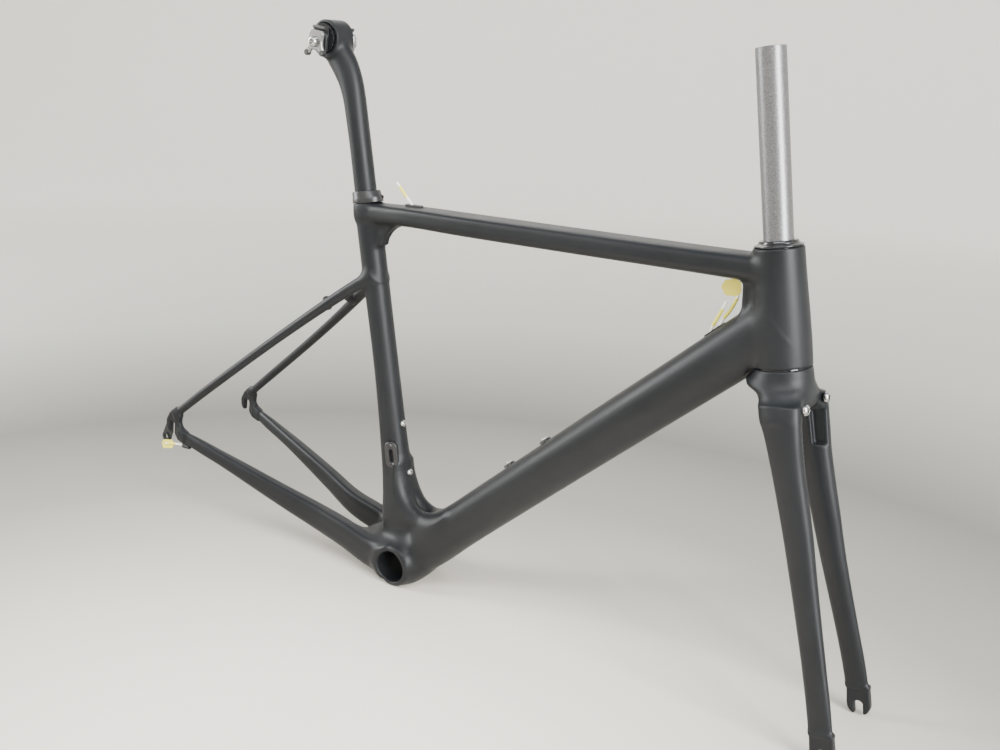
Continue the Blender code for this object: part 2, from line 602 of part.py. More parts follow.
def add_crown(group, carbon):
    """The crown swells from the head tube's round foot to two shoulders, with a lobe behind."""
    sizes = [(-1.0, 0.0, 27.3, 27.3, 2.0), (-6.0, -1.6, 28.2, 29.6, 2.0), (-17.0, -4.5, 32.0, 33.8, 2.1),
             (-28.0, 2.5, 40.0, 27.0, 2.4), (-42.0, 7.6, 47.0, 21.6, 2.8)]
    stations = [(on_head(ahead, height), HEAD_AHEAD, wide, deep, power)
                for height, ahead, wide, deep, power in sizes]
    crown = add_solid("fork_crown", tube(stations, 28), carbon, group)
    socket = [(0.0, 5.0), (25.9, 5.0), (25.9, -4.0), (19.35, -4.0), (19.35, -34.3), (11.0, -34.3),
              (11.0, -60.0), (0.0, -60.0)]
    combine(crown, add_cutter("cut_crown_socket", turned(socket, 28), group, HEAD_FRAME))
    tyre_arch = prism([(-60.0, -62.0), (60.0, -62.0), (60.0, -37.0), (-60.0, -37.0)], -22.5, 22.5)
    side_on = axes_matrix(HEAD_FOOT, -LEFT, HEAD_AHEAD)
    combine(crown, add_cutter("cut_crown_arch", tyre_arch, group, side_on))


def add_fork_legs(group, carbon):
    """Bladed legs that widen and rake forward to the axle, and the slotted tips they end in."""
    sizes = [(-42.4, 8.6, 35.4, 11.4, 20.4), (-60.0, 11.2, 36.4, 11.4, 18.4), (-91.0, 14.4, 36.2, 11.0, 16.3),
             (-123.5, 18.2, 36.4, 10.4, 15.3), (-155.6, 22.1, 37.3, 9.8, 14.6), (-198.5, 26.7, 39.6, 8.8, 13.4),
             (-241.6, 31.8, 43.2, 7.9, 12.5), (-284.6, 37.0, 47.4, 7.0, 12.0), (-327.6, 41.7, 51.6, 6.0, 12.1),
             (-350.0, 43.4, 53.6, 4.6, 12.3)]
    slot = [(-FORK_SLOT_HALF, -10.0), (-FORK_SLOT_HALF, 0.0)]
    slot += arc((0.0, 0.0), FORK_SLOT_HALF, 180.0, 0.0, 6)[1:] + [(FORK_SLOT_HALF, -10.0)]
    tip = [(-12.2, 19.5), (-FORK_TIP_RADIUS, 0.0)] + arc((0.0, 0.0), FORK_TIP_RADIUS, 200.0, 248.0, 5) + slot
    tip += arc((0.0, 0.0), FORK_TIP_RADIUS, 292.0, 340.0, 5) + [(FORK_TIP_RADIUS, 0.0), (11.6, 19.5)]
    for side, label in SIDES:
        stations = [(on_head(ahead, height, side * out), HEAD_AHEAD, wide, deep, 2.3)
                    for height, ahead, out, wide, deep in sizes]
        add_solid(f"fork_leg_{label}", tube(stations, 16, wall=1.8), carbon, group)
        axle = on_head(FORK_RAKE, AXLE_HEIGHT, side * FRONT_HALF_SPACING)
        place = axes_matrix(axle, -LEFT, HEAD_AHEAD)
        add_solid(f"fork_tip_{label}", plate(tip, 0.0, 8.0, side), carbon, group, place, smooth=False)


def add_fork_brake_bolts(group, steel):
    """Domed bolts on the crown's front, for a direct-mount brake."""
    for side, label in SIDES:
        place = axes_matrix(on_head(30.3, -36.5, side * BRAKE_BOLT_SIDE), HEAD_AHEAD, HEAD_AXIS)
        add_solid(f"fork_brake_bolt_{label}", button_bolt(5.4, 3.6, 3.0, 0.4), steel, group, place)


# ---------------------------------------------------------------- the seatpost and saddle clamp


def add_seatpost(group, carbon):
    """A straight post whose top curves back into a barrel head, bored across for the clamp."""
    sizes = [(SEATPOST_FOOT, 0.0, 0.0, 13.6), (560.0, 0.0, 0.0, 13.6), (580.0, -0.6, 5.0, 14.2),
             (600.0, -3.6, 14.0, 15.8), (618.0, -9.8, 28.0, 17.6), (634.0, -18.0, 44.0, 18.0),
             (647.0, -23.0, 56.0, 14.5)]
    stations = []
    for height, back, bend, deep in sizes:
        tangent = Matrix.Rotation(math.radians(-bend), 3, "Y") @ SEAT_AXIS
        stations.append((on_seat(back, height), ahead_of(tangent), SEATPOST_RADIUS, deep, 2.0))
    solid = add_solid("seatpost", tube(stations, 24), carbon, group)
    across = axes_matrix(CLAMP_CENTRE, LEFT, UP)
    head = turned([(0.0, -14.0), (20.3, -14.0), (21.6, -12.6), (21.6, 12.6), (20.3, 14.0), (0.0, 14.0)], 32)
    combine(solid, add_cutter("add_post_head", head, group, across), "UNION")
    bore = turned([(0.0, -20.0), (17.6, -20.0), (17.6, 20.0), (0.0, 20.0)], 28)
    combine(solid, add_cutter("cut_post_head_bore", bore, group, across))
    foot = SEATPOST_FOOT - 5.0
    hollow = turned([(0.0, foot), (11.2, foot), (11.2, 585.0), (0.0, 590.0)], 20)
    combine(solid, add_cutter("cut_post_hollow", hollow, group, SEAT_FRAME))


def add_saddle_clamp(group, black, steel):
    """A ribbed drum in the post's head, a rail cradle and an ear on each side, and one cross bolt."""
    across = axes_matrix(CLAMP_CENTRE, LEFT, UP)
    ribs = []
    for step in range(CLAMP_RIBS * 2):
        radius = 17.2 if step % 2 else 16.5
        angle = math.pi * step / CLAMP_RIBS
        ribs.append((radius * math.cos(angle), radius * math.sin(angle)))
    drum = add_solid("clamp_drum", prism(ribs, -16.6, 16.6), black, group, across, smooth=False)
    pinch = CLAMP_CENTRE - UP * PINCH_DROP
    hole = turned([(0.0, -45.0), (3.3, -45.0), (3.3, 45.0), (0.0, 45.0)], 12)
    bolt_hole = add_cutter("cut_clamp_bolt", hole, group, axes_matrix(pinch, LEFT, UP))
    combine(drum, bolt_hole)
    cradle = [(17.0, -15.0), (21.5, -15.0), (21.5, 0.0)] + arc((RAIL_SIDE, RAIL_HEIGHT), 3.8, 235.0, 75.0, 6)
    cradle += [(25.5, 11.0), (25.5, 14.0), (17.0, 14.0)]
    ear = [(-15.0, -13.5), (-9.5, -15.5), (-5.0, -9.5), (4.0, -9.0), (10.0, -13.5), (15.5, -11.5),
           (12.0, -4.0), (11.0, 2.0), (12.5, 9.5), (10.5, 13.7), (-8.0, 13.7), (-10.5, 9.5), (-10.5, -5.0)]
    for side, label in SIDES:
        outboard = axes_matrix(CLAMP_CENTRE, FORWARD * side, LEFT * side)
        block = add_solid(f"clamp_cradle_{label}", prism(cradle, -10.0, 10.0), black, group, outboard,
                          smooth=False)
        combine(block, bolt_hole)
        cheek = add_solid(f"clamp_ear_{label}", plate(ear, 26.0, 30.6, side), steel, group,
                          side_plane(pinch), smooth=False)
        combine(cheek, bolt_hole)
    place = axes_matrix(pinch - LEFT * 30.9, -LEFT, UP)
    add_solid("clamp_bolt", button_bolt(6.2, 5.4, 2.9, 65.0), steel, group, place)
    nut = turned([(3.3, 30.9), (6.2, 30.9), (6.2, 35.4), (3.3, 35.4)], 12)
    add_solid("clamp_nut", nut, steel, group, axes_matrix(pinch, LEFT, UP))


# ---------------------------------------------------------------- assembly


def stand_up(frameset):
    """Pitch the frameset nose down and centre the foot of its bounding box on the origin."""
    frameset.rotation_euler = (0.0, math.radians(STANDING_PITCH), 0.0)
    bpy.context.view_layer.update()
    graph = bpy.context.evaluated_depsgraph_get()
    low = Vector((1e9, 1e9, 1e9))
    high = -low
    for item in bpy.context.scene.objects:
        if item.type == "EMPTY" or item.hide_render:
            continue
        posed = item.evaluated_get(graph)
        mesh = posed.to_mesh()
        for vertex in mesh.vertices:
            place = posed.matrix_world @ vertex.co
            low = Vector(map(min, low, place))
            high = Vector(map(max, high, place))
        posed.to_mesh_clear()
    frameset.location = (-(low.x + high.x) / 2.0, -(low.y + high.y) / 2.0, -low.z)


def build():
    clear_scene()
    carbon = make_material("matte carbon", (0.018, 0.019, 0.021), 0.48)
    bare = make_material("bare steerer", (0.34, 0.33, 0.34), 0.32, 0.8)
    gloss = make_material("gloss black", (0.01, 0.01, 0.011), 0.12)
    black = make_material("satin black", (0.015, 0.015, 0.016), 0.35)
    steel = make_material("polished steel", (0.72, 0.72, 0.71), 0.2, 1.0)
    rubber = make_material("black rubber", (0.012, 0.012, 0.012), 0.6)
    nylon = make_material("white nylon", (0.9, 0.9, 0.86), 0.45)

    frameset = make_group("frameset", BIKE_FRAME, None)
    fork = make_group("steering_axis", HEAD_FRAME, frameset)
    post = make_group("seatpost_axis", SEAT_FRAME, frameset)
    clamp = make_group("saddle_clamp_axis", CLAMP_FRAME, post)

    head_cutter = add_cutter("cut_head_clearance", head_clearance(), frameset, HEAD_FRAME)
    seat_cutter = add_cutter("cut_seat_clearance", seat_clearance(), frameset)

    add_head_tube(frameset, carbon)
    top_tube = add_top_tube(frameset, carbon, head_cutter, seat_cutter)
    down_tube = add_down_tube(frameset, carbon, head_cutter)
    seat_tube = add_seat_tube(frameset, carbon)
    add_bottom_bracket(frameset, carbon)
    add_stays(frameset, carbon, seat_cutter)
    add_rear_dropouts(frameset, carbon, black, steel)
    add_brake_bosses(frameset, carbon)
    add_bottle_bolts(frameset, black, steel)

    add_cable_entries(frameset, top_tube, down_tube, seat_tube, rubber, nylon)
    add_front_derailleur_mount(frameset, seat_cutter, black, steel)
    add_collar(frameset, black, steel)
    add_headset(frameset, fork, gloss, steel)
    add_steerer(fork, bare)
    add_crown(fork, carbon)
    add_fork_legs(fork, carbon)
    add_fork_brake_bolts(fork, steel)
    add_seatpost(post, carbon)
    add_saddle_clamp(clamp, black, steel)

    stand_up(frameset)


build()
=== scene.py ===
"""Looks for the road frameset: smooth carbon skins, bright fasteners and a plain studio.

The shapes are worked out in the bike's own frame, in millimetres: origin in the middle of the bottom
bracket, +X forward, +Y to the rider's left, +Z up. BIKE_TO_FLOOR then stands them where the CAD stands.
Each carbon moulding is a signed distance field, negative inside, whose tubes run into one another with
smooth fillets; a net of quads is then drawn over its zero surface.
"""

import json
import math

import bmesh
import bpy
import numpy as np
from mathutils import Matrix, Vector


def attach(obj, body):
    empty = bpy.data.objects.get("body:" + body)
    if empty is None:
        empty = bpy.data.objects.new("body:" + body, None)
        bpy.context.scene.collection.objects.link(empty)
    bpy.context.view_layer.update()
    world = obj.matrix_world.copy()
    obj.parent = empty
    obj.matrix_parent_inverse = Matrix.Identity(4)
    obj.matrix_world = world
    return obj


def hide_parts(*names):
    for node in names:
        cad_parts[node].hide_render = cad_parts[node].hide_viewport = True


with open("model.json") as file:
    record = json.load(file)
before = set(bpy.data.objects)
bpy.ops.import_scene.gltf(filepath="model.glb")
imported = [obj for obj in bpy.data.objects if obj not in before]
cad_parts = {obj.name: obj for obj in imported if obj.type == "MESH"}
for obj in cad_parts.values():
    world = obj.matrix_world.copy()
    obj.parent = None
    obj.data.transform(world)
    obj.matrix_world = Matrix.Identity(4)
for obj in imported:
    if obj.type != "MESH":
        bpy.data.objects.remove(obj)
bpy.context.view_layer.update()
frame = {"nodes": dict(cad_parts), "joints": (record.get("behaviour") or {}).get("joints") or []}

# ------------ driving dimensions, in millimetres

MM = 0.001
HEAD_ANGLE = 74.0
SEAT_ANGLE = 73.7
DOWN_TUBE_ANGLE = 47.57
TOP_TUBE_SLOPE = 7.0
HEAD_TOP = (388.2, 513.05)
HEAD_LENGTH = 114.0
SEAT_TUBE_OFFSET = -7.3
SEAT_TUBE_LENGTH = 454.0
FORK_LENGTH = 370.0
FORK_RAKE = 45.0
RACE_HEIGHT = -3.0
STEERER_TOP = 296.5
REAR_AXLE = (-401.5, 60.0)
REAR_HALF_SPACING = 65.0
FRONT_HALF_SPACING = 50.0
SHELL_HALF_WIDTH = 43.25
SHELL_BORE = 20.5
SEATPOST_RADIUS = 13.6
CLAMP_HEIGHT = 651.5
CLAMP_SETBACK = 24.5
PINCH_DROP = 4.5
EAR_INNER = 26.0
EAR_OUTER = 30.6
LINER_RADIUS = 1.5
STAY_ANGLE = 46.4
BRAKE_BOLT_SIDE = 28.0
BRAKE_BOLT_HEIGHT = -36.5
BOTTLE_BOLT_SPACING = 64.0
SEAT_BOLT_HEIGHT = 112.0
DOWN_BOLT_HEIGHT = 221.0
MOUNT_PLATE_HEIGHT = 139.0
COLLAR_GAP = 0.3
LINER_EXIT = 8.0                # how far a liner runs straight out of its port
TAPE_THICKNESS = 0.35
CAD_EDGE = 0.35                 # bevel on the CAD nodes that still show
NET_CELL = 1.6                  # spacing of the net drawn over the carbon

LEFT = Vector((0.0, 1.0, 0.0))
UP = Vector((0.0, 0.0, 1.0))
FORWARD = Vector((1.0, 0.0, 0.0))
SIDES = ((1.0, "left"), (-1.0, "right"))


def rising(angle):
    """The unit vector up a tube that leans back at this angle to the ground."""
    return Vector((-math.cos(math.radians(angle)), 0.0, math.sin(math.radians(angle))))


def ahead_of(axis):
    """The unit vector in the side plane, at right angles to an axis and pointing forward."""
    return Vector((axis.z, 0.0, -axis.x))


HEAD_AXIS = rising(HEAD_ANGLE)
HEAD_AHEAD = ahead_of(HEAD_AXIS)
HEAD_FOOT = Vector((HEAD_TOP[0], 0.0, HEAD_TOP[1])) - HEAD_AXIS * HEAD_LENGTH
SEAT_AXIS = rising(SEAT_ANGLE)
SEAT_AHEAD = ahead_of(SEAT_AXIS)
SEAT_FOOT = Vector((SEAT_TUBE_OFFSET, 0.0, 0.0))
DOWN_AXIS = rising(180.0 - DOWN_TUBE_ANGLE)
DOWN_TOPSIDE = Vector((-DOWN_AXIS.z, 0.0, DOWN_AXIS.x))
DOWN_FOOT = Vector((0.0, 0.0, -1.7))
TOP_TOPSIDE = rising(90.0 - TOP_TUBE_SLOPE)
TOP_AXIS = ahead_of(TOP_TOPSIDE)
AXLE_HEIGHT = RACE_HEIGHT - math.sqrt(FORK_LENGTH**2 - FORK_RAKE**2)


def on_head(ahead, height, side=0.0):
    return HEAD_FOOT + HEAD_AHEAD * ahead + HEAD_AXIS * height + LEFT * side


def on_seat(ahead, height, side=0.0):
    return SEAT_FOOT + SEAT_AHEAD * ahead + SEAT_AXIS * height + LEFT * side


def on_down_tube(height, topside=0.0, side=0.0):
    return DOWN_FOOT + DOWN_AXIS * height + DOWN_TOPSIDE * topside + LEFT * side


CLAMP_CENTRE = on_seat(-CLAMP_SETBACK, CLAMP_HEIGHT)


def bike_to_floor():
    """The standing pose, in metres, worked out from the steering joint's place and axis in the frame."""
    steering = next(joint for joint in frame["joints"] if joint["name"] == "steering")
    axis = Vector(steering["axis"])
    pitch = math.atan2(axis.x, axis.z) - math.atan2(HEAD_AXIS.x, HEAD_AXIS.z)
    turn = Matrix.Rotation(pitch, 4, "Y")
    place = Vector(steering["pos_m"]) - turn @ (HEAD_FOOT * MM)
    return Matrix.Translation(place) @ turn


BIKE_TO_FLOOR = bike_to_floor()

# ------------ camera, floor and lights

CAMERA_PLACE = Vector((739.0, -963.0, 714.3))
CAMERA_YAW = 2.160
CAMERA_PITCH = -0.355
CAMERA_ROLL = 0.143
CAMERA_LENS = 38.26
FLOOR_RADIUS = 3.2              # the backdrop's own sizes are in metres
SWEEP_RADIUS = 1.8
WALL_HEIGHT = 5.0
FLOOR_SEGMENTS = 96
# light and shade painted on the backdrop: a painted pool of light round PAPER_MIDDLE, a darker painted band
# further out, and painted light again up the walls
PAPER_MIDDLE = (0.10, -0.45, 0.0)
PAPER_REACH = 5.0
PAPER_PAINTED_LIGHT_AND_SHADE = ((0.04, (0.95, 0.87, 0.78)), (0.08, (0.76, 0.70, 0.62)), (0.125, (0.48, 0.45, 0.40)),
                (0.16, (0.32, 0.305, 0.27)), (0.23, (0.19, 0.182, 0.162)), (0.38, (0.48, 0.475, 0.435)),
                (0.8, (0.95, 0.92, 0.86)))


def add_camera():
    """The camera of the view that the part is shown in."""
    ahead = Vector((math.cos(CAMERA_PITCH) * math.cos(CAMERA_YAW),
                    math.cos(CAMERA_PITCH) * math.sin(CAMERA_YAW), math.sin(CAMERA_PITCH)))
    level = ahead.cross(UP).normalized()
    upward = level.cross(ahead)
    right = level * math.cos(CAMERA_ROLL) + upward * math.sin(CAMERA_ROLL)
    top = upward * math.cos(CAMERA_ROLL) - level * math.sin(CAMERA_ROLL)
    turn = Matrix((right, top, -ahead)).transposed().to_4x4()
    data = bpy.data.cameras.new("camera")
    data.sensor_width = 36.0
    data.lens = CAMERA_LENS
    data.clip_end = 100.0
    camera = bpy.data.objects.new("camera", data)
    bpy.context.collection.objects.link(camera)
    camera.matrix_world = BIKE_TO_FLOOR @ Matrix.Translation(CAMERA_PLACE * MM) @ turn
    bpy.context.scene.camera = camera


def add_floor():
    """A pale floor that curves up into walls a long way off, all round the part."""
    profile = [(0.0, 0.0), (1.5, 0.0), (FLOOR_RADIUS, 0.0)]
    for step in range(1, 13):
        angle = math.radians(90.0 * step / 12)
        rise = SWEEP_RADIUS * (1.0 - math.cos(angle))
        profile.append((FLOOR_RADIUS + SWEEP_RADIUS * math.sin(angle), rise))
    profile.append((FLOOR_RADIUS + SWEEP_RADIUS, WALL_HEIGHT))
    shape = turned(profile, FLOOR_SEGMENTS)
    bmesh.ops.recalc_face_normals(shape, faces=shape.faces)
    mesh = bpy.data.meshes.new("floor")
    shape.to_mesh(mesh)
    shape.free()
    mesh.shade_smooth()
    floor = bpy.data.objects.new("floor", mesh)
    bpy.context.collection.objects.link(floor)
    mesh.materials.append(paper_material())


def paper_material():
    """Pale grey backdrop paper with light and shade painted into its colour: brightest under the part, duller
    behind it and lighter again up the walls.
    """
    material, nodes, links, shader = new_material("backdrop_paper_painted_light", (0.6, 0.58, 0.55), 0.9)
    place = nodes.new("ShaderNodeTexCoord")
    shifted = nodes.new("ShaderNodeVectorMath")
    shifted.operation = "DISTANCE"
    shifted.inputs[1].default_value = PAPER_MIDDLE
    links.new(place.outputs["Object"], shifted.inputs[0])
    reach = nodes.new("ShaderNodeMapRange")
    reach.inputs["From Max"].default_value = PAPER_REACH
    links.new(shifted.outputs["Value"], reach.inputs["Value"])
    shade = colour_ramp(nodes, links, reach.outputs["Result"], PAPER_PAINTED_LIGHT_AND_SHADE)
    links.new(shade, shader.inputs["Base Color"])
    return material


def add_light(name, place, target, size, power, colour=(1.0, 1.0, 1.0)):
    data = bpy.data.lights.new(name, "AREA")
    data.shape = "RECTANGLE"
    data.size, data.size_y = size
    data.energy = power
    data.color = colour
    light = bpy.data.objects.new(name, data)
    bpy.context.collection.objects.link(light)
    light.location = place
    light.rotation_mode = "QUATERNION"
    light.rotation_quaternion = (Vector(target) - Vector(place)).to_track_quat("-Z", "Y")


def add_studio():
    world = bpy.data.worlds.new("studio")
    world.use_nodes = True
    background = world.node_tree.nodes["Background"]
    background.inputs["Color"].default_value = (0.90, 0.95, 1.0, 1.0)
    background.inputs["Strength"].default_value = 0.85
    bpy.context.scene.world = world
    add_light("ceiling_panel", (0.7, -1.5, 2.7), (0.0, 0.0, 0.3), (2.6, 0.7), 62.0)
    add_light("front_window", (2.7, -0.75, 1.2), (0.1, 0.0, 0.3), (1.1, 2.2), 215.0, (0.97, 0.985, 1.0))
    add_light("rear_window", (-2.5, -1.2, 1.4), (0.0, 0.0, 0.3), (0.8, 1.8), 110.0, (0.97, 0.985, 1.0))
    add_light("rear_fill", (-1.6, 2.0, 2.0), (0.0, 0.0, 0.3), (1.8, 1.2), 14.0)


# ------------ materials


def new_material(name, colour, roughness, metallic=0.0):
    material = bpy.data.materials.new(name)
    material.use_nodes = True
    nodes, links = material.node_tree.nodes, material.node_tree.links
    shader = nodes["Principled BSDF"]
    shader.inputs["Base Color"].default_value = (*colour, 1.0)
    shader.inputs["Roughness"].default_value = roughness
    shader.inputs["Metallic"].default_value = metallic
    return material, nodes, links, shader


def noise(nodes, links, scale, detail=2.0, stretch=(1.0, 1.0, 1.0)):
    place = nodes.new("ShaderNodeTexCoord")
    mapping = nodes.new("ShaderNodeMapping")
    mapping.inputs["Scale"].default_value = stretch
    texture = nodes.new("ShaderNodeTexNoise")
    texture.inputs["Scale"].default_value = scale
    texture.inputs["Detail"].default_value = detail
    links.new(place.outputs["Object"], mapping.inputs["Vector"])
    links.new(mapping.outputs["Vector"], texture.inputs["Vector"])
    return texture.outputs["Fac"]


def colour_ramp(nodes, links, value, stops):
    ramp = nodes.new("ShaderNodeValToRGB")
    for index, (place, colour) in enumerate(stops):
        stop = ramp.color_ramp.elements[index] if index < 2 else ramp.color_ramp.elements.new(place)
        stop.position = place
        stop.color = (*colour, 1.0)
    links.new(value, ramp.inputs["Fac"])
    return ramp.outputs["Color"]


def value_range(nodes, links, value, low, high):
    """Spread a 0.3 to 0.7 noise value between two roughnesses."""
    spread = nodes.new("ShaderNodeMapRange")
    spread.inputs["From Min"].default_value = 0.3
    spread.inputs["From Max"].default_value = 0.7
    spread.inputs["To Min"].default_value = low
    spread.inputs["To Max"].default_value = high
    links.new(value, spread.inputs["Value"])
    return spread.outputs["Result"]


def add_bump(nodes, links, shader, value, strength, distance):
    bump = nodes.new("ShaderNodeBump")
    bump.inputs["Strength"].default_value = strength
    bump.inputs["Distance"].default_value = distance
    links.new(value, bump.inputs["Height"])
    links.new(bump.outputs["Normal"], shader.inputs["Normal"])


def carbon_material():
    """Matte lacquer over carbon: nearly black, a little uneven, with a fine sprayed grain."""
    material, nodes, links, shader = new_material("matte_carbon", (0.008, 0.009, 0.0105), 0.45)
    cloud = noise(nodes, links, scale=14.0, detail=3.0)
    tint = colour_ramp(nodes, links, cloud,
                       ((0.3, (0.0062, 0.0070, 0.0082)), (0.7, (0.0092, 0.0102, 0.0118))))
    links.new(tint, shader.inputs["Base Color"])
    links.new(value_range(nodes, links, cloud, 0.41, 0.48), shader.inputs["Roughness"])
    shader.inputs["Specular IOR Level"].default_value = 0.26
    grain = noise(nodes, links, scale=2600.0, detail=2.0)
    add_bump(nodes, links, shader, grain, 0.08, 0.0004)
    return material


# ------------ distance fields

BOX_REACH = 32.0                # how far past its own surface a shape may touch a field
PLATE_REACH = 20.0
BOX_SPARE = 26.0                # how much of that reach the net itself doesn't need
FAR = 60.0                      # field value where no shape is near


def smooth_min(first, second, radius):
    """The union of two fields, with a fillet of about this radius where they meet."""
    near = np.maximum(radius - np.abs(first - second), 0.0) / radius
    return np.minimum(first, second) - near * near * radius * 0.25


def smooth_max(first, second, radius):
    return -smooth_min(-first, -second, radius)


def eased(places, values, count=160):
    """A smooth curve through the values at rising places, sampled finely enough for np.interp."""
    places, values = np.array(places), np.array(values)
    slopes = np.gradient(values, places)
    fine = np.linspace(places[0], places[-1], count)
    index = np.clip(np.searchsorted(places, fine, side="right") - 1, 0, len(places) - 2)
    width = places[index + 1] - places[index]
    t = (fine - places[index]) / width
    start, end = values[index], values[index + 1]
    curve = ((2 * t**3 - 3 * t**2 + 1) * start + (t**3 - 2 * t**2 + t) * width * slopes[index]
             + (3 * t**2 - 2 * t**3) * end + (t**3 - t**2) * width * slopes[index + 1])
    return fine, curve


def oval_distance(across, deep, half_width, half_depth, power):
    """Distance to a superellipse, exact to first order near its outline."""
    u = np.abs(across) / half_width + 1e-6
    v = np.abs(deep) / half_depth + 1e-6
    q = (u**power + v**power) ** (1.0 / power)
    slope = q ** (1.0 - power) * np.hypot(u ** (power - 1.0) / half_width, v ** (power - 1.0) / half_depth)
    return np.maximum((q - 1.0) / slope, -np.minimum(half_width, half_depth))


class Loft:
    """A tube whose sections lie square to one direction of the side plane.

    Stations are (place along the tube, deep, side, half width, half depth, upper power, lower power), the
    place and the deep offset being measured from the origin. With mirrored set it is a pair of tubes.
    """

    def __init__(self, origin, along, stations, mirrored=False, cap=1.5):
        self.origin, self.along = np.array(origin), np.array(along)
        self.deepwards = np.array((-along[2], 0.0, along[0]))
        self.mirrored, self.cap = mirrored, cap
        columns = list(zip(*stations))
        self.low, self.high = columns[0][0], columns[0][-1]
        self.curves = [eased(columns[0], column) for column in columns[1:]]
        reach = max(max(columns[3]), max(columns[4])) + BOX_REACH
        ends = []
        for place, deep, side, *_rest in stations:
            middle = self.origin + self.along * place + self.deepwards * deep
            ends += [middle + (0.0, side, 0.0)] + ([middle - (0.0, side, 0.0)] if mirrored else [])
        self.box = np.min(ends, axis=0) - reach, np.max(ends, axis=0) + reach

    def __call__(self, points):
        away = points - self.origin
        along = away @ self.along
        deep, side, half_width, half_depth, upper, lower = (np.interp(along, *curve) for curve in self.curves)
        v = away @ self.deepwards - deep
        u = (np.abs(points[:, 1]) if self.mirrored else points[:, 1]) - side
        power = np.where(v > 0.0, upper, lower)
        skin = oval_distance(u, v, half_width, half_depth, power)
        return smooth_max(skin, np.maximum(self.low - along, along - self.high), self.cap)


class Bent:
    """A tube of elliptical section along a curve in the side plane.

    Stations are (x, z, half width, half depth).
    """

    def __init__(self, stations, cap=1.0, steps=72):
        columns = list(zip(*stations))
        places = np.concatenate([[0.0], np.cumsum(np.hypot(np.diff(columns[0]), np.diff(columns[1])))])
        curves = [eased(places, column, steps)[1] for column in columns]
        self.line = np.stack(curves[:2], axis=1)
        self.half_width, self.half_depth = curves[2:]
        self.cap = cap
        reach = max(columns[2] + columns[3]) + BOX_REACH
        low, high = self.line.min(axis=0) - reach, self.line.max(axis=0) + reach
        self.box = np.array((low[0], -reach, low[1])), np.array((high[0], reach, high[1]))

    def __call__(self, points):
        flat = points[:, (0, 2)]
        nearest, beyond = np.full(len(points), 1e9), np.zeros(len(points))
        offset, wide, deep = np.zeros(len(points)), np.ones(len(points)), np.ones(len(points))
        last = len(self.line) - 2
        for index, (start, end) in enumerate(zip(self.line, self.line[1:])):
            edge = end - start
            length = np.hypot(*edge)
            run = (flat - start) @ edge / length
            t = np.clip(run / length, 0.0, 1.0)
            away = flat - start - t[:, None] * edge
            gap = np.hypot(*away.T)
            closer = gap < nearest
            nearest = np.where(closer, gap, nearest)
            across = ((flat - start) @ np.array((-edge[1], edge[0]))) / length
            offset = np.where(closer, across, offset)
            wide_here, deep_here = (sizes[index] + t * (sizes[index + 1] - sizes[index])
                                    for sizes in (self.half_width, self.half_depth))
            wide = np.where(closer, wide_here, wide)
            deep = np.where(closer, deep_here, deep)
            over = np.maximum(-run if index == 0 else -1.0, run - length if index == last else -1.0)
            beyond = np.where(closer, over, beyond)
        skin = oval_distance(points[:, 1], offset, wide, deep, 2.0)
        return smooth_max(skin, beyond, self.cap)


class Turned:
    """A solid of revolution: (height, radius) points along an axis, eased into a smooth profile."""

    def __init__(self, origin, axis, profile, mirrored=False, cap=1.0):
        self.origin, self.axis = np.array(origin), np.array(axis)
        self.mirrored, self.cap = mirrored, cap
        heights, radii = zip(*profile)
        self.low, self.high = heights[0], heights[-1]
        self.curve = eased(heights, radii)
        ends = np.array([self.origin + self.axis * self.low, self.origin + self.axis * self.high])
        if mirrored:
            ends = np.concatenate([ends, ends * (1.0, -1.0, 1.0)])
        reach = max(radii) + BOX_REACH
        self.box = ends.min(axis=0) - reach, ends.max(axis=0) + reach

    def __call__(self, points):
        if self.mirrored:
            side = np.abs(points[:, 1]) * np.sign(self.origin[1])
            points = np.stack([points[:, 0], side, points[:, 2]], axis=1)
        away = points - self.origin
        along = away @ self.axis
        radius = np.sqrt(np.maximum((away * away).sum(axis=1) - along * along, 0.0))
        skin = radius - np.interp(along, *self.curve)
        return smooth_max(skin, np.maximum(self.low - along, along - self.high), self.cap)


class Plate:
    """A flat plate in the side plane, between two distances out from the middle, on both sides or on one."""

    def __init__(self, origin, ahead, outline, inner, outer, sides=(1.0, -1.0), rounding=1.2):
        self.origin = np.array(origin)
        self.ahead = np.array(ahead)
        self.upward = np.array((-ahead[2], 0.0, ahead[0]))
        self.outline = np.array(outline)
        self.inner, self.outer, self.sides, self.rounding = inner, outer, sides, rounding
        corners = [self.origin + self.ahead * x + self.upward * z for x, z in outline]
        low, high = np.min(corners, axis=0) - PLATE_REACH, np.max(corners, axis=0) + PLATE_REACH
        low[1], high[1] = -outer - PLATE_REACH, outer + PLATE_REACH
        self.box = low, high

    def __call__(self, points):
        away = points - self.origin
        flat = np.stack([away @ self.ahead, away @ self.upward], axis=1)
        edge = outline_distance(flat, self.outline)
        side = np.abs(points[:, 1]) if len(self.sides) == 2 else points[:, 1] * self.sides[0]
        return smooth_max(edge, np.maximum(self.inner - side, side - self.outer), self.rounding)


def outline_distance(points, outline):
    """Signed distance to a closed outline of straight edges, negative inside."""
    nearest = np.full(len(points), 1e9)
    inside = np.zeros(len(points), bool)
    for start, end in zip(outline, np.roll(outline, -1, axis=0)):
        edge, away = end - start, points - start
        t = np.clip(away @ edge / (edge @ edge), 0.0, 1.0)
        gap = away - t[:, None] * edge
        nearest = np.minimum(nearest, (gap * gap).sum(axis=1))
        rises = (start[1] > points[:, 1]) != (end[1] > points[:, 1])
        run = edge[1] if edge[1] else 1e-9
        inside ^= rises & (points[:, 0] < start[0] + edge[0] * (points[:, 1] - start[1]) / run)
    return np.where(inside, -1.0, 1.0) * np.sqrt(nearest)


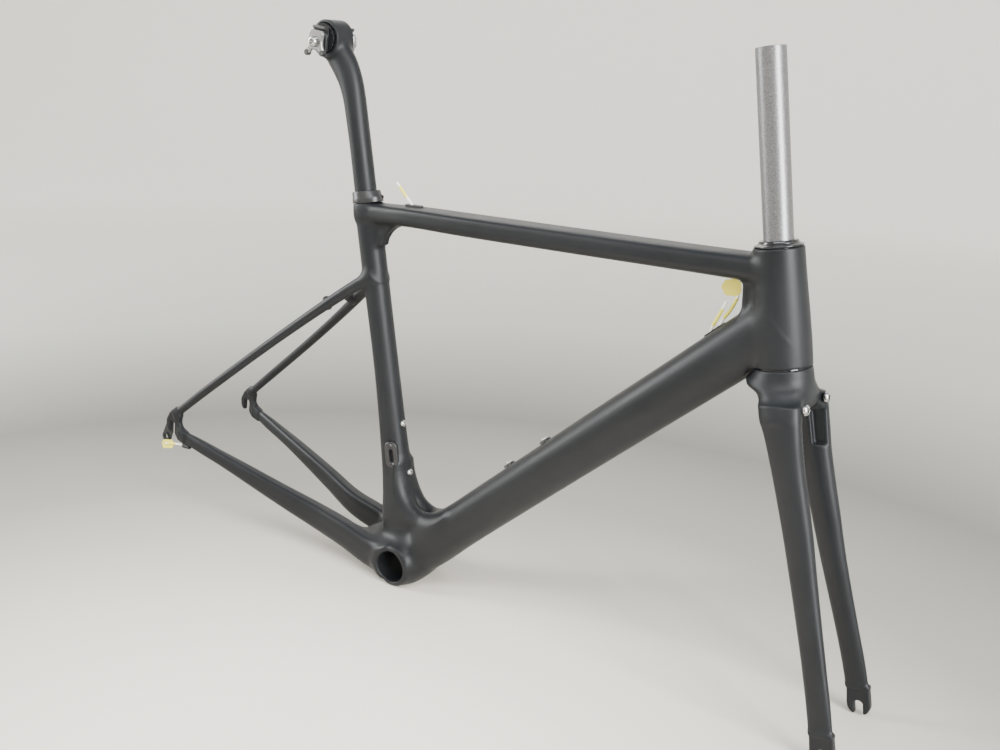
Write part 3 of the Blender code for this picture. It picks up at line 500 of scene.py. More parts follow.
class Moulding:
    """Solids joined one after another, each with its own fillet, then cut by others the same way."""

    def __init__(self, joined, cuts=()):
        self.joined, self.cuts = joined, cuts
        self.low = np.min([shape.box[0] for shape, _radius in joined], axis=0) + BOX_SPARE
        self.high = np.max([shape.box[1] for shape, _radius in joined], axis=0) - BOX_SPARE

    def __call__(self, points):
        result = np.full(len(points), FAR)
        for shape, radius in self.joined:
            near = ((points > shape.box[0]) & (points < shape.box[1])).all(axis=1)
            if near.any():
                result[near] = smooth_min(result[near], shape(points[near]), radius)
        for shape, radius in self.cuts:
            near = ((points > shape.box[0]) & (points < shape.box[1])).all(axis=1)
            if near.any():
                result[near] = smooth_max(result[near], -shape(points[near]), radius)
        return result


# ------------ the net over a field

TILE = 8                        # the grid is filled in tiles of this many points a side
CORNERS = [(x, y, z) for x in (0, 1) for y in (0, 1) for z in (0, 1)]
EDGES = [(a, b) for a in range(8) for b in range(a + 1, 8)
         if sum(abs(p - q) for p, q in zip(CORNERS[a], CORNERS[b])) == 1]


def in_batches(field, points, size=400000):
    return np.concatenate([field(points[start:start + size]) for start in range(0, len(points), size)])


def sample_grid(field, cell):
    """Field values on a grid, worked out only in the tiles that the surface may cross."""
    low = field.low - 3 * cell
    tiles = np.ceil((field.high + 3 * cell - low) / (cell * TILE)).astype(int)
    values = np.empty(tiles * TILE, np.float32)
    view = values.reshape(tiles[0], TILE, tiles[1], TILE, tiles[2], TILE).transpose(0, 2, 4, 1, 3, 5)
    corner = np.stack(np.meshgrid(*[np.arange(n) for n in tiles], indexing="ij"), axis=-1).reshape(-1, 3)
    middle = low + (corner * TILE + (TILE - 1) / 2.0) * cell
    rough = in_batches(field, middle)
    crossed = np.abs(rough) < cell * TILE * 1.5 + 3.0
    view[...] = np.where(rough < 0.0, -FAR, FAR).reshape(tiles)[..., None, None, None]
    step = np.stack(np.meshgrid(*[np.arange(TILE)] * 3, indexing="ij"), axis=-1).reshape(-1, 3)
    chosen = corner[crossed]
    points = low + (chosen[:, None, :] * TILE + step[None]) * cell
    found = in_batches(field, points.reshape(-1, 3)).reshape(-1, TILE, TILE, TILE)
    view[tuple(chosen.T)] = found
    return low, values


def draw_net(field, cell):
    """Quads over the field's zero surface: one corner in each grid cell that the surface crosses."""
    low, values = sample_grid(field, cell)
    inside = values < 0.0
    shape = np.array(values.shape) - 1
    count = np.zeros(shape, np.uint8)
    for x, y, z in CORNERS:
        count += inside[x:x + shape[0], y:y + shape[1], z:z + shape[2]]
    cells = np.argwhere((count > 0) & (count < 8))
    at = [values[tuple((cells + corner).T)].astype(float) for corner in CORNERS]
    total, hits = np.zeros((len(cells), 3)), np.zeros(len(cells))
    for a, b in EDGES:
        cross = (at[a] < 0.0) != (at[b] < 0.0)
        t = np.where(cross, at[a] / np.where(cross, at[a] - at[b], 1.0), 0.0)[:, None]
        start, end = np.array(CORNERS[a]), np.array(CORNERS[b])
        total += np.where(cross[:, None], start + t * (end - start), 0.0)
        hits += cross
    points = low + (cells + total / hits[:, None]) * cell
    keys = cells @ np.array([shape[1] * shape[2], shape[2], 1])
    faces = []
    for axis in range(3):
        first, second = (axis + 1) % 3, (axis + 2) % 3
        one = [slice(1, n) for n in shape]
        two = list(one)
        one[axis], two[axis] = slice(0, shape[axis]), slice(1, shape[axis] + 1)
        a, b = inside[tuple(one)], inside[tuple(two)]
        base = np.argwhere(a != b)
        outward = a[tuple(base.T)]
        base[:, first] += 1
        base[:, second] += 1
        ring = []
        for u, v in ((1, 1), (0, 1), (0, 0), (1, 0)):
            corner = base.copy()
            corner[:, first] -= u
            corner[:, second] -= v
            ring.append(np.searchsorted(keys, corner @ np.array([shape[1] * shape[2], shape[2], 1])))
        quads = np.stack(ring, axis=1)
        quads[~outward] = quads[~outward][:, ::-1]
        faces.append(quads)
    return settle(field, points, cell), np.concatenate(faces)


def settle(field, points, cell, rounds=2, step=0.25):
    """Move each point of the net onto the surface itself, along the field's slope."""
    for _round in range(rounds):
        value = in_batches(field, points)
        slope = np.stack([in_batches(field, points + offset) - in_batches(field, points - offset)
                          for offset in np.eye(3) * step], axis=1) / (2.0 * step)
        length = np.maximum((slope * slope).sum(axis=1), 0.1)
        move = slope * (value / length)[:, None]
        size = np.linalg.norm(move, axis=1, keepdims=True)
        points = points - move * np.minimum(1.0, 0.6 * cell / np.maximum(size, 1e-9))
    return points


def add_moulding(name, field, material, body, replaced, cell=NET_CELL):
    """Draw a moulding's skin and let it stand for the CAD nodes of its sections."""
    points, faces = draw_net(field, cell)
    mesh = bpy.data.meshes.new(name)
    mesh.vertices.add(len(points))
    placed = points * MM @ np.array(BIKE_TO_FLOOR.to_3x3()).T + np.array(BIKE_TO_FLOOR.translation)
    mesh.vertices.foreach_set("co", placed.astype(np.float32).ravel())
    mesh.loops.add(len(faces) * 4)
    mesh.loops.foreach_set("vertex_index", faces.astype(np.int32).ravel())
    mesh.polygons.add(len(faces))
    mesh.polygons.foreach_set("loop_start", np.arange(0, len(faces) * 4, 4, dtype=np.int32))
    mesh.update(calc_edges=True)
    mesh.validate()
    mesh.shade_smooth()
    mesh.materials.append(material)
    piece = bpy.data.objects.new(name, mesh)
    bpy.context.collection.objects.link(piece)
    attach(piece, body)
    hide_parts(*replaced)


# ------------ the frame's mouldings


def arc(centre, radius, start, end, steps):
    points = []
    for step in range(steps + 1):
        angle = math.radians(start + (end - start) * step / steps)
        points.append((centre[0] + radius * math.cos(angle), centre[1] + radius * math.sin(angle)))
    return points


def side_plane_station(axis, x, z, side, wide, deep, upper, lower):
    """A station of a tube along an axis of the side plane, given by its middle."""
    middle = Vector((x, 0.0, z))
    deepwards = Vector((-axis.z, 0.0, axis.x))
    return (middle.dot(axis), middle.dot(deepwards), side, wide, deep, upper, lower)


STAY_AXIS = ahead_of(rising(STAY_ANGLE))


def main_tubes():
    head = Turned(HEAD_FOOT, HEAD_AXIS, [(0.0, 27.5), (14.0, 27.6), (42.0, 26.9), (78.0, 25.3),
                                         (HEAD_LENGTH, 24.0)])
    down = Loft(DOWN_FOOT, DOWN_AXIS, [
        (-6.0, 0.0, 0.0, 31.0, 26.5, 2.6, 2.6), (42.6, 0.0, 0.0, 30.0, 29.0, 2.4, 2.4),
        (100.0, 0.6, 0.0, 27.5, 28.2, 2.3, 2.3), (220.0, 0.9, 0.0, 26.0, 28.0, 2.2, 2.2),
        (380.0, 0.8, 0.0, 25.5, 28.2, 2.2, 2.2), (500.0, 0.2, 0.0, 25.0, 28.4, 2.2, 2.2),
        (604.5, 0.0, 0.0, 24.0, 29.0, 2.2, 2.2)])
    seat = Loft(SEAT_FOOT, SEAT_AXIS, [
        (0.0, 3.0, 0.0, 26.0, 22.0, 2.4, 2.4), (55.3, 3.6, 0.0, 24.0, 23.0, 2.4, 2.4),
        (80.0, 2.8, 0.0, 21.5, 21.2, 2.2, 2.2), (110.0, 2.1, 0.0, 19.0, 19.9, 2.0, 2.0),
        (150.0, 1.6, 0.0, 17.0, 18.2, 2.0, 2.0), (225.0, 0.0, 0.0, 16.0, 16.0, 2.0, 2.0),
        (400.0, 0.0, 0.0, 16.2, 15.9, 2.0, 2.0), (SEAT_TUBE_LENGTH, 0.0, 0.0, 16.2, 15.7, 2.0, 2.0)], cap=1.0)
    top = Loft((0.0, 0.0, 0.0), TOP_AXIS, [side_plane_station(TOP_AXIS, x, z, 0.0, wide, deep, upper, lower)
               for x, z, wide, deep, upper, lower in (
                   (-140.0, 424.4, 15.4, 12.3, 3.0, 2.6), (-104.0, 429.0, 16.8, 12.2, 3.6, 2.6),
                   (-62.0, 435.4, 20.0, 12.0, 4.2, 2.6), (10.0, 443.8, 21.7, 12.4, 4.4, 2.6),
                   (160.0, 462.0, 22.0, 12.6, 4.4, 2.6), (310.0, 480.7, 22.2, 12.9, 3.8, 2.5),
                   (394.0, 491.4, 20.5, 14.0, 2.8, 2.4))])
    return head, down, seat, top


def stays():
    chain = Loft((0.0, 0.0, 0.0), FORWARD, [
        (-386.0, 49.4, 69.4, 3.4, 6.6, 2.8, 2.6), (-375.0, 47.6, 68.0, 4.2, 8.0, 2.8, 2.6),
        (-300.0, 36.7, 58.5, 7.4, 10.4, 3.6, 2.4), (-200.0, 19.4, 44.0, 9.4, 15.0, 4.0, 2.4),
        (-135.0, 8.2, 33.5, 10.4, 17.8, 4.0, 2.4), (-90.0, 4.2, 32.5, 10.8, 19.0, 4.0, 2.4),
        (-46.3, -1.5, 32.5, 11.0, 20.0, 3.4, 2.4), (-20.0, -1.5, 32.0, 11.0, 21.0, 3.0, 2.4)], mirrored=True)
    seat = Loft((0.0, 0.0, 0.0), STAY_AXIS, [side_plane_station(STAY_AXIS, x, z, y, wide, deep, 2.0, 2.0)
                for x, y, z, wide, deep in (
                    (-397.0, 68.0, 76.7, 3.6, 5.6), (-350.0, 63.5, 122.4, 5.4, 6.0),
                    (-300.0, 57.4, 170.0, 5.6, 6.0), (-250.0, 49.8, 217.6, 5.7, 6.1),
                    (-200.0, 39.1, 265.2, 6.0, 6.4), (-160.0, 27.6, 303.4, 6.6, 6.9),
                    (-130.0, 16.5, 331.5, 7.0, 7.5), (-106.0, 7.6, 352.6, 7.6, 8.0))], mirrored=True)
    return chain, seat


def dropout_outline():
    """The hooked plate at a rear wheel's axle, its slot opening downward."""
    slot_half = 5.2
    outline = [(-13.4, 3.0), (-13.0, -6.0), (-9.7, -12.0), (-slot_half, -13.6), (-slot_half, 0.0)]
    outline += arc((0.0, 0.0), slot_half, 180.0, 0.0, 8)[1:]
    return outline + [(slot_half, -12.5), (8.5, -17.0), (15.0, -20.0), (26.0, -20.6), (26.0, -5.4),
                      (18.5, -1.0), (14.5, 6.0), (15.0, 15.4), (4.9, 26.2), (-7.4, 15.5)]


def frame_field():
    """The whole monocoque: tubes, stays and dropouts, with webs in corners wider than a fillet."""
    head, down, seat, top = main_tubes()
    chain, stay = stays()
    shell = Turned((0.0, 0.0, 0.0), LEFT, [(-SHELL_HALF_WIDTH, 26.5), (-20.0, 27.3), (8.0, 25.5),
                                           (SHELL_HALF_WIDTH, 22.0)], cap=6.0)
    yoke = Loft((0.0, 0.0, 0.0), FORWARD, [(-72.0, 4.0, 0.0, 24.0, 14.0, 3.0, 3.0),
                                           (-20.0, 4.0, 0.0, 31.0, 20.0, 3.0, 3.0),
                                           (14.0, 3.0, 0.0, 35.0, 20.0, 3.0, 3.0)], cap=8.0)
    dropout = Plate((REAR_AXLE[0], 0.0, REAR_AXLE[1]), FORWARD, dropout_outline(), REAR_HALF_SPACING, 72.0)
    bosses = Turned(Vector((-165.5, 22.9, 298.7)), Vector((-0.70, -0.56, 0.44)).normalized(),
                    [(-4.0, 6.2), (6.0, 5.8), (12.0, 5.4)], mirrored=True, cap=0.8)
    origin = (0.0, 0.0, 0.0)
    hollow = arc((21.0, 127.0), 53.0, 184.0, 314.0, 14)
    saddle_of_seat = Plate(origin, FORWARD, hollow + [(40.0, 50.0), (-30.0, 50.0)], -1.0, 22.0, rounding=16.0)
    web_of_head = Plate(origin, FORWARD, [(363.0, 480.0), (370.5, 436.0), (392.0, 430.0), (388.0, 486.0)],
                        -1.0, 12.0, rounding=5.0)
    web_of_seat = Plate(origin, FORWARD, [(-99.2, 391.0), (-97.8, 399.6), (-93.2, 407.6), (-81.5, 420.6),
                                          (-120.0, 428.0), (-120.0, 391.0)], -1.0, 8.0, rounding=4.0)
    joined = [(shell, 1.0), (down, 18.0), (seat, 20.0), (saddle_of_seat, 14.0), (yoke, 14.0), (chain, 14.0),
              (top, 8.0), (web_of_seat, 8.0), (head, 7.0), (web_of_head, 6.0), (stay, 9.0), (dropout, 7.0),
              (bosses, 2.5)]
    crown_room = Turned(HEAD_FOOT, HEAD_AXIS, [(-90.0, 41.0), (-18.0, 41.0), (-5.3, 34.0), (-0.6, 27.9)],
                        cap=0.3)
    bore = Turned(origin, LEFT, [(-60.0, SHELL_BORE), (0.0, SHELL_BORE), (60.0, SHELL_BORE)])
    above_collar = Turned(SEAT_FOOT, SEAT_AXIS,
                          [(SEAT_TUBE_LENGTH, 27.0), (SEAT_TUBE_LENGTH + 40.0, 27.0)], cap=0.3)
    return Moulding(joined, [(crown_room, 0.6), (bore, 1.6), (above_collar, 0.8)])


def fork_field():
    """Crown, two bladed legs that rake forward, and the slotted tips, as one moulding."""
    downward = -HEAD_AXIS
    crown = Loft(HEAD_FOOT, downward, [
        (1.4, 0.0, 0.0, 27.4, 27.4, 2.0, 2.0), (6.0, -1.6, 0.0, 28.2, 29.6, 2.0, 2.0),
        (12.0, -4.2, 0.0, 30.0, 32.6, 2.0, 2.0), (17.0, -3.4, 0.0, 32.6, 31.8, 2.1, 2.1),
        (22.0, 1.2, 0.0, 36.0, 27.4, 2.2, 2.2), (28.0, 4.2, 0.0, 39.5, 24.0, 2.3, 2.3),
        (42.0, 8.6, 0.0, 44.0, 17.0, 2.4, 2.4)], cap=0.5)
    legs = Loft(HEAD_FOOT, downward, [
        (32.0, 8.0, 34.0, 10.0, 20.0, 2.3, 2.3), (42.4, 8.6, 35.4, 11.2, 20.4, 2.3, 2.3),
        (60.0, 11.2, 36.4, 11.4, 18.4, 2.3, 2.3), (91.0, 14.4, 36.2, 11.0, 16.3, 2.3, 2.3),
        (123.5, 18.2, 36.4, 10.4, 15.3, 2.3, 2.3), (155.6, 22.1, 37.3, 9.8, 14.6, 2.3, 2.3),
        (198.5, 26.7, 39.6, 8.8, 13.4, 2.3, 2.3), (241.6, 31.8, 43.2, 7.9, 12.5, 2.3, 2.3),
        (284.6, 37.0, 47.4, 7.0, 12.0, 2.3, 2.3), (327.6, 41.7, 51.6, 6.0, 12.0, 2.3, 2.3),
        (350.0, 43.4, 53.6, 4.4, 12.0, 2.4, 2.4)], mirrored=True)
    slot_half, radius = 4.7, 12.3
    outline = [(-11.8, 21.0), (-radius, 0.0)] + arc((0.0, 0.0), radius, 200.0, 248.0, 5)
    outline += [(-slot_half, -10.0), (-slot_half, 0.0)] + arc((0.0, 0.0), slot_half, 180.0, 0.0, 8)[1:]
    outline += [(slot_half, -10.0)] + arc((0.0, 0.0), radius, 292.0, 340.0, 5)
    outline += [(radius, 0.0), (11.4, 21.0)]
    tips = Plate(on_head(FORK_RAKE, AXLE_HEIGHT), HEAD_AHEAD, outline, FRONT_HALF_SPACING, 58.0)
    arch = Plate(HEAD_FOOT, HEAD_AHEAD, [(-70.0, -130.0), (70.0, -130.0), (70.0, -44.0), (-70.0, -36.0)],
                 -1.0, 22.5)
    pockets = Plate(HEAD_FOOT, HEAD_AHEAD, [(14.0, -50.0), (16.0, -84.0), (60.0, -90.0), (60.0, -46.0)],
                    18.0, 31.5)
    bolt_seats = Turned(on_head(22.0, BRAKE_BOLT_HEIGHT, BRAKE_BOLT_SIDE), HEAD_AHEAD,
                        [(8.0, 8.2), (30.0, 8.2)], mirrored=True, cap=0.4)
    return Moulding([(crown, 1.0), (legs, 10.0), (tips, 5.0)],
                    [(arch, 3.0), (pockets, 2.0), (bolt_seats, 1.0)])


def seatpost_field():
    """The straight post, the neck that curves back, and the barrel that the clamp's drum sits in."""
    stations = []
    for height, back, deep in (
            (304.0, 0.0, SEATPOST_RADIUS), (440.0, 0.0, SEATPOST_RADIUS), (560.0, 0.0, SEATPOST_RADIUS),
            (580.0, -0.6, 14.2), (600.0, -3.6, 15.8), (618.0, -9.8, 17.6), (634.0, -18.0, 17.6),
            (647.0, -23.0, 14.5)):
        place = on_seat(back, height)
        stations.append((place.x, place.z, SEATPOST_RADIUS, deep))
    barrel = Turned(CLAMP_CENTRE, LEFT, [(-14.0, 21.7), (14.0, 21.7)], cap=1.6)
    bore = Turned(CLAMP_CENTRE, LEFT, [(-20.0, 17.8), (20.0, 17.8)], cap=0.2)
    hollow = Turned(SEAT_FOOT, SEAT_AXIS, [(295.0, 11.2), (585.0, 11.2)], cap=0.3)
    return Moulding([(Bent(stations), 1.0), (barrel, 7.0)], [(bore, 0.8), (hollow, 0.5)])


FRAME_NODES = ["head_tube", "top_tube", "down_tube", "seat_tube", "bb_shell", "chainstay_left",
               "chainstay_right", "seatstay_left", "seatstay_right", "dropout_rear_left",
               "dropout_rear_right", "rear_brake_boss_left", "rear_brake_boss_right"]
FORK_NODES = ["fork_crown", "fork_leg_left", "fork_leg_right", "fork_tip_left", "fork_tip_right"]


# ------------ turned and cut pieces


def axes_matrix(origin, z_axis, x_axis):
    """A placement whose local Z and X run along the two given directions."""
    z = Vector(z_axis).normalized()
    x = (Vector(x_axis) - z * Vector(x_axis).dot(z)).normalized()
    matrix = Matrix((x, z.cross(x), z)).transposed().to_4x4()
    matrix.translation = origin
    return matrix


def side_on(origin):
    """A placement in the side plane: local X forward, local Y up, local Z towards the rider's right."""
    return axes_matrix(origin, -LEFT, FORWARD)


def bridge(shape, first, second):
    for index in range(len(first)):
        after = (index + 1) % len(first)
        shape.faces.new((first[index], first[after], second[after], second[index]))


def join_rings(shape, rings):
    """Faces from each ring to the next, and from the last back to the first."""
    for first, second in zip(rings, rings[1:] + rings[:1]):
        bridge(shape, first, second)


def turned(profile, count):
    """Spin an outline of (radius, height) points round Z. A point of radius 0 closes the shape."""
    shape = bmesh.new()
    rings = []
    for radius, height in profile:
        turns = count if radius else 1
        rings.append([shape.verts.new((radius * math.cos(math.tau * step / count),
                                       radius * math.sin(math.tau * step / count), height))
                      for step in range(turns)])
    pairs = list(zip(rings, rings[1:]))
    if len(rings[0]) > 1:
        pairs.append((rings[-1], rings[0]))
    for first, second in pairs:
        if len(first) == len(second):
            bridge(shape, first, second)
        else:
            tip, ring = (first[0], second) if len(first) == 1 else (second[0], first)
            for index in range(count):
                shape.faces.new((tip, ring[index], ring[(index + 1) % count]))
    return shape


def prism(outline, low, high):
    """Extrude an outline of (x, y) points along Z."""
    shape = bmesh.new()
    bottom = [shape.verts.new((x, y, low)) for x, y in outline]
    top = [shape.verts.new((x, y, high)) for x, y in outline]
    bridge(shape, bottom, top)
    shape.faces.new(bottom)
    shape.faces.new(top)
    return shape


def stadium(length, width, steps=12):
    """A slot-shaped outline along X, with round ends."""
    reach = (length - width) / 2.0
    front = arc((reach, 0.0), width / 2.0, -90.0, 90.0, steps)
    return front + arc((-reach, 0.0), width / 2.0, 90.0, 270.0, steps)


def soften(piece, width):
    """A small bevel, in millimetres, along the piece's sharp edges."""
    bevel = piece.modifiers.new("edges", "BEVEL")
    bevel.width = width * MM
    bevel.segments = 2
    bevel.limit_method = "ANGLE"
    bevel.harden_normals = True


def add_piece(name, shape, place, material, body, replaced=(), edge=0.0):
    """Turn a bmesh in millimetres, placed in the bike's frame, into a piece that rides on a body."""
    bmesh.ops.recalc_face_normals(shape, faces=shape.faces)
    shape.transform(Matrix.Scale(MM, 4) @ place)
    shape.transform(BIKE_TO_FLOOR)
    mesh = bpy.data.meshes.new(name)
    shape.to_mesh(mesh)
    shape.free()
    mesh.shade_smooth()
    mesh.set_sharp_from_angle(angle=math.radians(38))
    mesh.materials.append(material)
    piece = bpy.data.objects.new(name, mesh)
    bpy.context.collection.objects.link(piece)
    if edge:
        soften(piece, edge)
    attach(piece, body)
    if replaced:
        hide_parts(*replaced)
    return piece


def socket_bolt(head_radius, head_height, shank_radius, shank_length, socket):
    """A domed bolt with a hexagonal socket: head above local Z 0 and shank below it."""
    dome = [(head_radius, 0.0), (head_radius, head_height * 0.35)]
    for step in range(1, 6):
        angle = math.radians(15.0 * step)
        rise = 0.35 + 0.65 * math.sin(angle)
        dome.append((socket + (head_radius - socket) * math.cos(angle), head_height * rise))
    sunk = [(socket, head_height), (socket * 0.94, head_height * 0.96), (socket * 0.9, head_height * 0.3),
            (0.0, head_height * 0.22)]
    shank = [(0.0, -shank_length), (shank_radius, -shank_length), (shank_radius, 0.0)]
    return turned(shank + dome + sunk, 36)


def add_bolt(name, sizes, place, steel, body, edge):
    """A polished bolt that takes the place of the CAD node it is named after."""
    add_piece(f"{name}_detail", socket_bolt(*sizes), place, steel, body, [name], edge)


def add_bolts(steel):
    for index, reach in enumerate((18.5, 16.75)):
        further = BOTTLE_BOLT_SPACING * index
        place = axes_matrix(on_seat(reach - 0.4, SEAT_BOLT_HEIGHT + further), SEAT_AHEAD, SEAT_AXIS)
        add_bolt(f"bottle_bolt_seat_{index + 1}", (4.3, 3.4, 2.4, 0.2, 2.0), place, steel, "frame", 0.15)
        place = axes_matrix(on_down_tube(DOWN_BOLT_HEIGHT + further, 31.5), DOWN_TOPSIDE, DOWN_AXIS)
        add_bolt(f"bottle_bolt_down_{index + 1}", (4.2, 2.4, 2.2, 2.0, 2.0), place, steel, "frame", 0.15)
    for side, label in SIDES:
        place = axes_matrix(on_head(30.3, BRAKE_BOLT_HEIGHT, side * BRAKE_BOLT_SIDE), HEAD_AHEAD, HEAD_AXIS)
        add_bolt(f"fork_brake_bolt_{label}", (5.4, 3.6, 3.0, 1.4, 2.6), place, steel, "fork", 0.2)


def add_headset_and_steerer(bare, gloss):
    place = axes_matrix(HEAD_FOOT, HEAD_AXIS, HEAD_AHEAD)
    steerer = [(12.0, STEERER_TOP), (13.9, STEERER_TOP), (14.3, STEERER_TOP - 0.4), (14.3, 60.0),
               (19.05, 20.0), (19.05, -34.0), (12.0, -34.0)]
    add_piece("steerer_detail", turned(steerer, 96), place, bare, "fork", ["steerer"])
    cover = [(14.7, 115.6), (17.7, 115.6), (17.7, 114.5), (22.9, 114.5)] + [
        (22.6 + 0.9 * math.cos(math.radians(angle)), 115.6 + 0.9 * math.sin(math.radians(angle)))
        for angle in range(-60, 91, 30)]
    cover += [(20.6, 117.3), (19.2, 118.2), (18.7, 119.8), (18.0, 120.6), (15.2, 120.6), (14.7, 120.2)]
    add_piece("headset_cover_detail", turned(cover, 72), place, gloss, "fork", ["headset_cover"])


def add_collar(black):
    """The seat collar's satin sleeve, flared to the front and stepped at its rim."""
    shape = bmesh.new()
    rings = []
    for radius, height, front in ((13.95, 0.0, 0.0), (17.4, 0.0, 5.4), (17.6, 0.6, 5.4), (17.4, 6.0, 4.6),
                                  (16.9, 7.0, 4.2), (16.8, 12.8, 2.6), (16.2, 14.0, 2.0), (13.95, 14.0, 0.0)):
        ring = []
        for step in range(72):
            angle = math.tau * step / 72
            reach = radius + front * max(math.cos(angle), 0.0) ** 3
            ring.append(shape.verts.new((reach * math.cos(angle), reach * math.sin(angle), height)))
        rings.append(ring)
    join_rings(shape, rings)
    place = axes_matrix(on_seat(0.0, SEAT_TUBE_LENGTH + COLLAR_GAP), SEAT_AXIS, SEAT_AHEAD)
    add_piece("seat_collar_detail", shape, place, black, "frame", ["seat_collar"], 0.2)


def add_clamp(black, silver, steel, gloss, rubber):
    """The saddle clamp: ribbed drum, rail cradles, forged ears with capped arms, and the cross bolt."""
    across = axes_matrix(CLAMP_CENTRE, LEFT, UP)
    ribs = []
    for step in range(24):
        start = math.tau * step / 24
        for offset, radius in ((0.0, 16.5), (0.25, 17.2), (0.6, 17.2), (0.85, 16.5)):
            angle = start + offset * math.tau / 24
            ribs.append((radius * math.cos(angle), radius * math.sin(angle)))
    add_piece("clamp_drum_detail", prism(ribs, -16.6, 16.6), across, gloss, "saddle_clamp", ["clamp_drum"],
              0.3)
    pinch = CLAMP_CENTRE - UP * PINCH_DROP
    cradle = [(17.0, -15.0), (21.5, -15.0), (21.5, 0.0)] + arc((22.4, 5.5), 3.8, 235.0, 75.0, 14)
    cradle += [(25.5, 11.0), (25.5, 14.0), (17.0, 14.0)]
    ear = [(-15.0, -13.5), (-9.5, -15.5), (-5.0, -9.5), (4.0, -9.0), (10.0, -13.5), (15.5, -11.5),
           (12.0, -4.0), (11.0, 2.0), (12.5, 9.5), (10.5, 13.7), (-8.0, 13.7), (-10.5, 9.5), (-10.5, -5.0)]
    plain_ear = [(-10.5, -9.0), (8.0, -9.0), (9.5, 0.0), (9.5, 8.0), (7.5, 11.5), (-7.0, 11.5), (-10.5, 8.0)]
    for side, label in SIDES:
        outboard = axes_matrix(CLAMP_CENTRE, FORWARD * side, LEFT * side)
        add_piece(f"clamp_cradle_{label}_detail", prism(cradle, -10.0, 10.0), outboard, black, "saddle_clamp",
                  [f"clamp_cradle_{label}"], 0.9)
        low, high = sorted((-side * EAR_INNER, -side * EAR_OUTER))
        forging = prism(ear if side < 0.0 else plain_ear, low, high)
        add_piece(f"clamp_ear_{label}_detail", forging, side_on(pinch), silver, "saddle_clamp",
                  [f"clamp_ear_{label}"], 1.3)
    cap = [(0.0, -3.2), (3.0, -3.2), (3.6, -2.4), (3.6, 2.4), (3.0, 3.2), (0.0, 3.2)]
    for spot, x, z in (("rear", -12.2, -13.6), ("front", 12.6, -11.8)):
        tip = axes_matrix(pinch + Vector((x, -(EAR_INNER + EAR_OUTER) / 2.0, z)), LEFT, UP)
        add_piece(f"clamp_tip_{spot}_right", turned(cap, 28), tip, rubber, "saddle_clamp", (),
                  0.3)
    bolt = axes_matrix(pinch - LEFT * 30.9, -LEFT, UP)
    add_piece("clamp_bolt_detail", socket_bolt(6.2, 5.4, 2.9, 65.0, 3.4), bolt, steel, "saddle_clamp",
              ["clamp_bolt"], 0.3)


def add_mount_plate(black):
    """The front derailleur's slotted plate on the seat tube."""
    outward = (SEAT_AHEAD * 0.4 - LEFT * 0.917).normalized()
    place = axes_matrix(on_seat(0.0, MOUNT_PLATE_HEIGHT) + outward * 15.4, outward, SEAT_AXIS)
    shape = bmesh.new()
    rings = []
    for length, width, height, shift in (
            (17.0, 5.6, 5.6, -1.0), (17.0, 5.6, -3.0, -1.0), (34.0, 16.0, -3.0, 0.0),
            (34.0, 16.0, 5.0, 0.0), (32.8, 14.8, 5.6, 0.0)):
        rings.append([shape.verts.new((x + shift, y, height)) for x, y in stadium(length, width)])
    join_rings(shape, rings)
    add_piece("front_derailleur_mount_detail", shape, place, black, "frame", ["front_derailleur_mount"])


# ------------ cable liners


def smooth_route(points, steps):
    """Catmull-Rom points through a route."""
    padded = [points[0] * 2 - points[1]] + points + [points[-1] * 2 - points[-2]]
    route = []
    for a, b, c, d in zip(padded, padded[1:], padded[2:], padded[3:]):
        for step in range(steps):
            t = step / steps
            route.append(0.5 * (2 * b + (c - a) * t + (2 * a - 5 * b + 4 * c - d) * t * t
                                + (3 * b - a - 3 * c + d) * t**3))
    return route + [points[-1]]


def rod(name, route, radius, material):
    """A round rod along a route, in metres, that rides on the frame."""
    curve = bpy.data.curves.new(name, "CURVE")
    curve.dimensions = "3D"
    curve.bevel_depth = radius
    curve.bevel_resolution = 6
    curve.use_fill_caps = True
    spline = curve.splines.new("POLY")
    spline.points.add(len(route) - 1)
    for point, place in zip(spline.points, route):
        point.co = (*place, 1.0)
    piece = bpy.data.objects.new(name, curve)
    bpy.context.collection.objects.link(piece)
    curve.materials.append(material)
    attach(piece, "frame")
    return piece


def add_liner(name, mouth, aim, bends, nylon, tape, wrapped, flags=()):
    """A liner's free end, from its port's mouth on, with the tape wound round it."""
    stops = [mouth, mouth + aim * LINER_EXIT] + [Vector(bend) for bend in bends]
    route = smooth_route([BIKE_TO_FLOOR @ (stop * MM) for stop in stops], 6)
    liner = rod(f"{name}_detail", route, LINER_RADIUS * MM, nylon)
    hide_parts(name)
    first, last = (int(round(part * (len(route) - 1))) for part in wrapped)
    winding = rod(f"{name}_tape", route[first:last + 1], (LINER_RADIUS + TAPE_THICKNESS) * MM, tape)


def add_flag(name, corners, side, tape):
    """A folded end of tape, as a thin sheet in the side plane with rounded edges."""
    place = side_on(Vector((0.0, side, 0.0)))
    return add_piece(name, prism(corners, -0.5, 0.5), place, tape, "frame", edge=0.2)


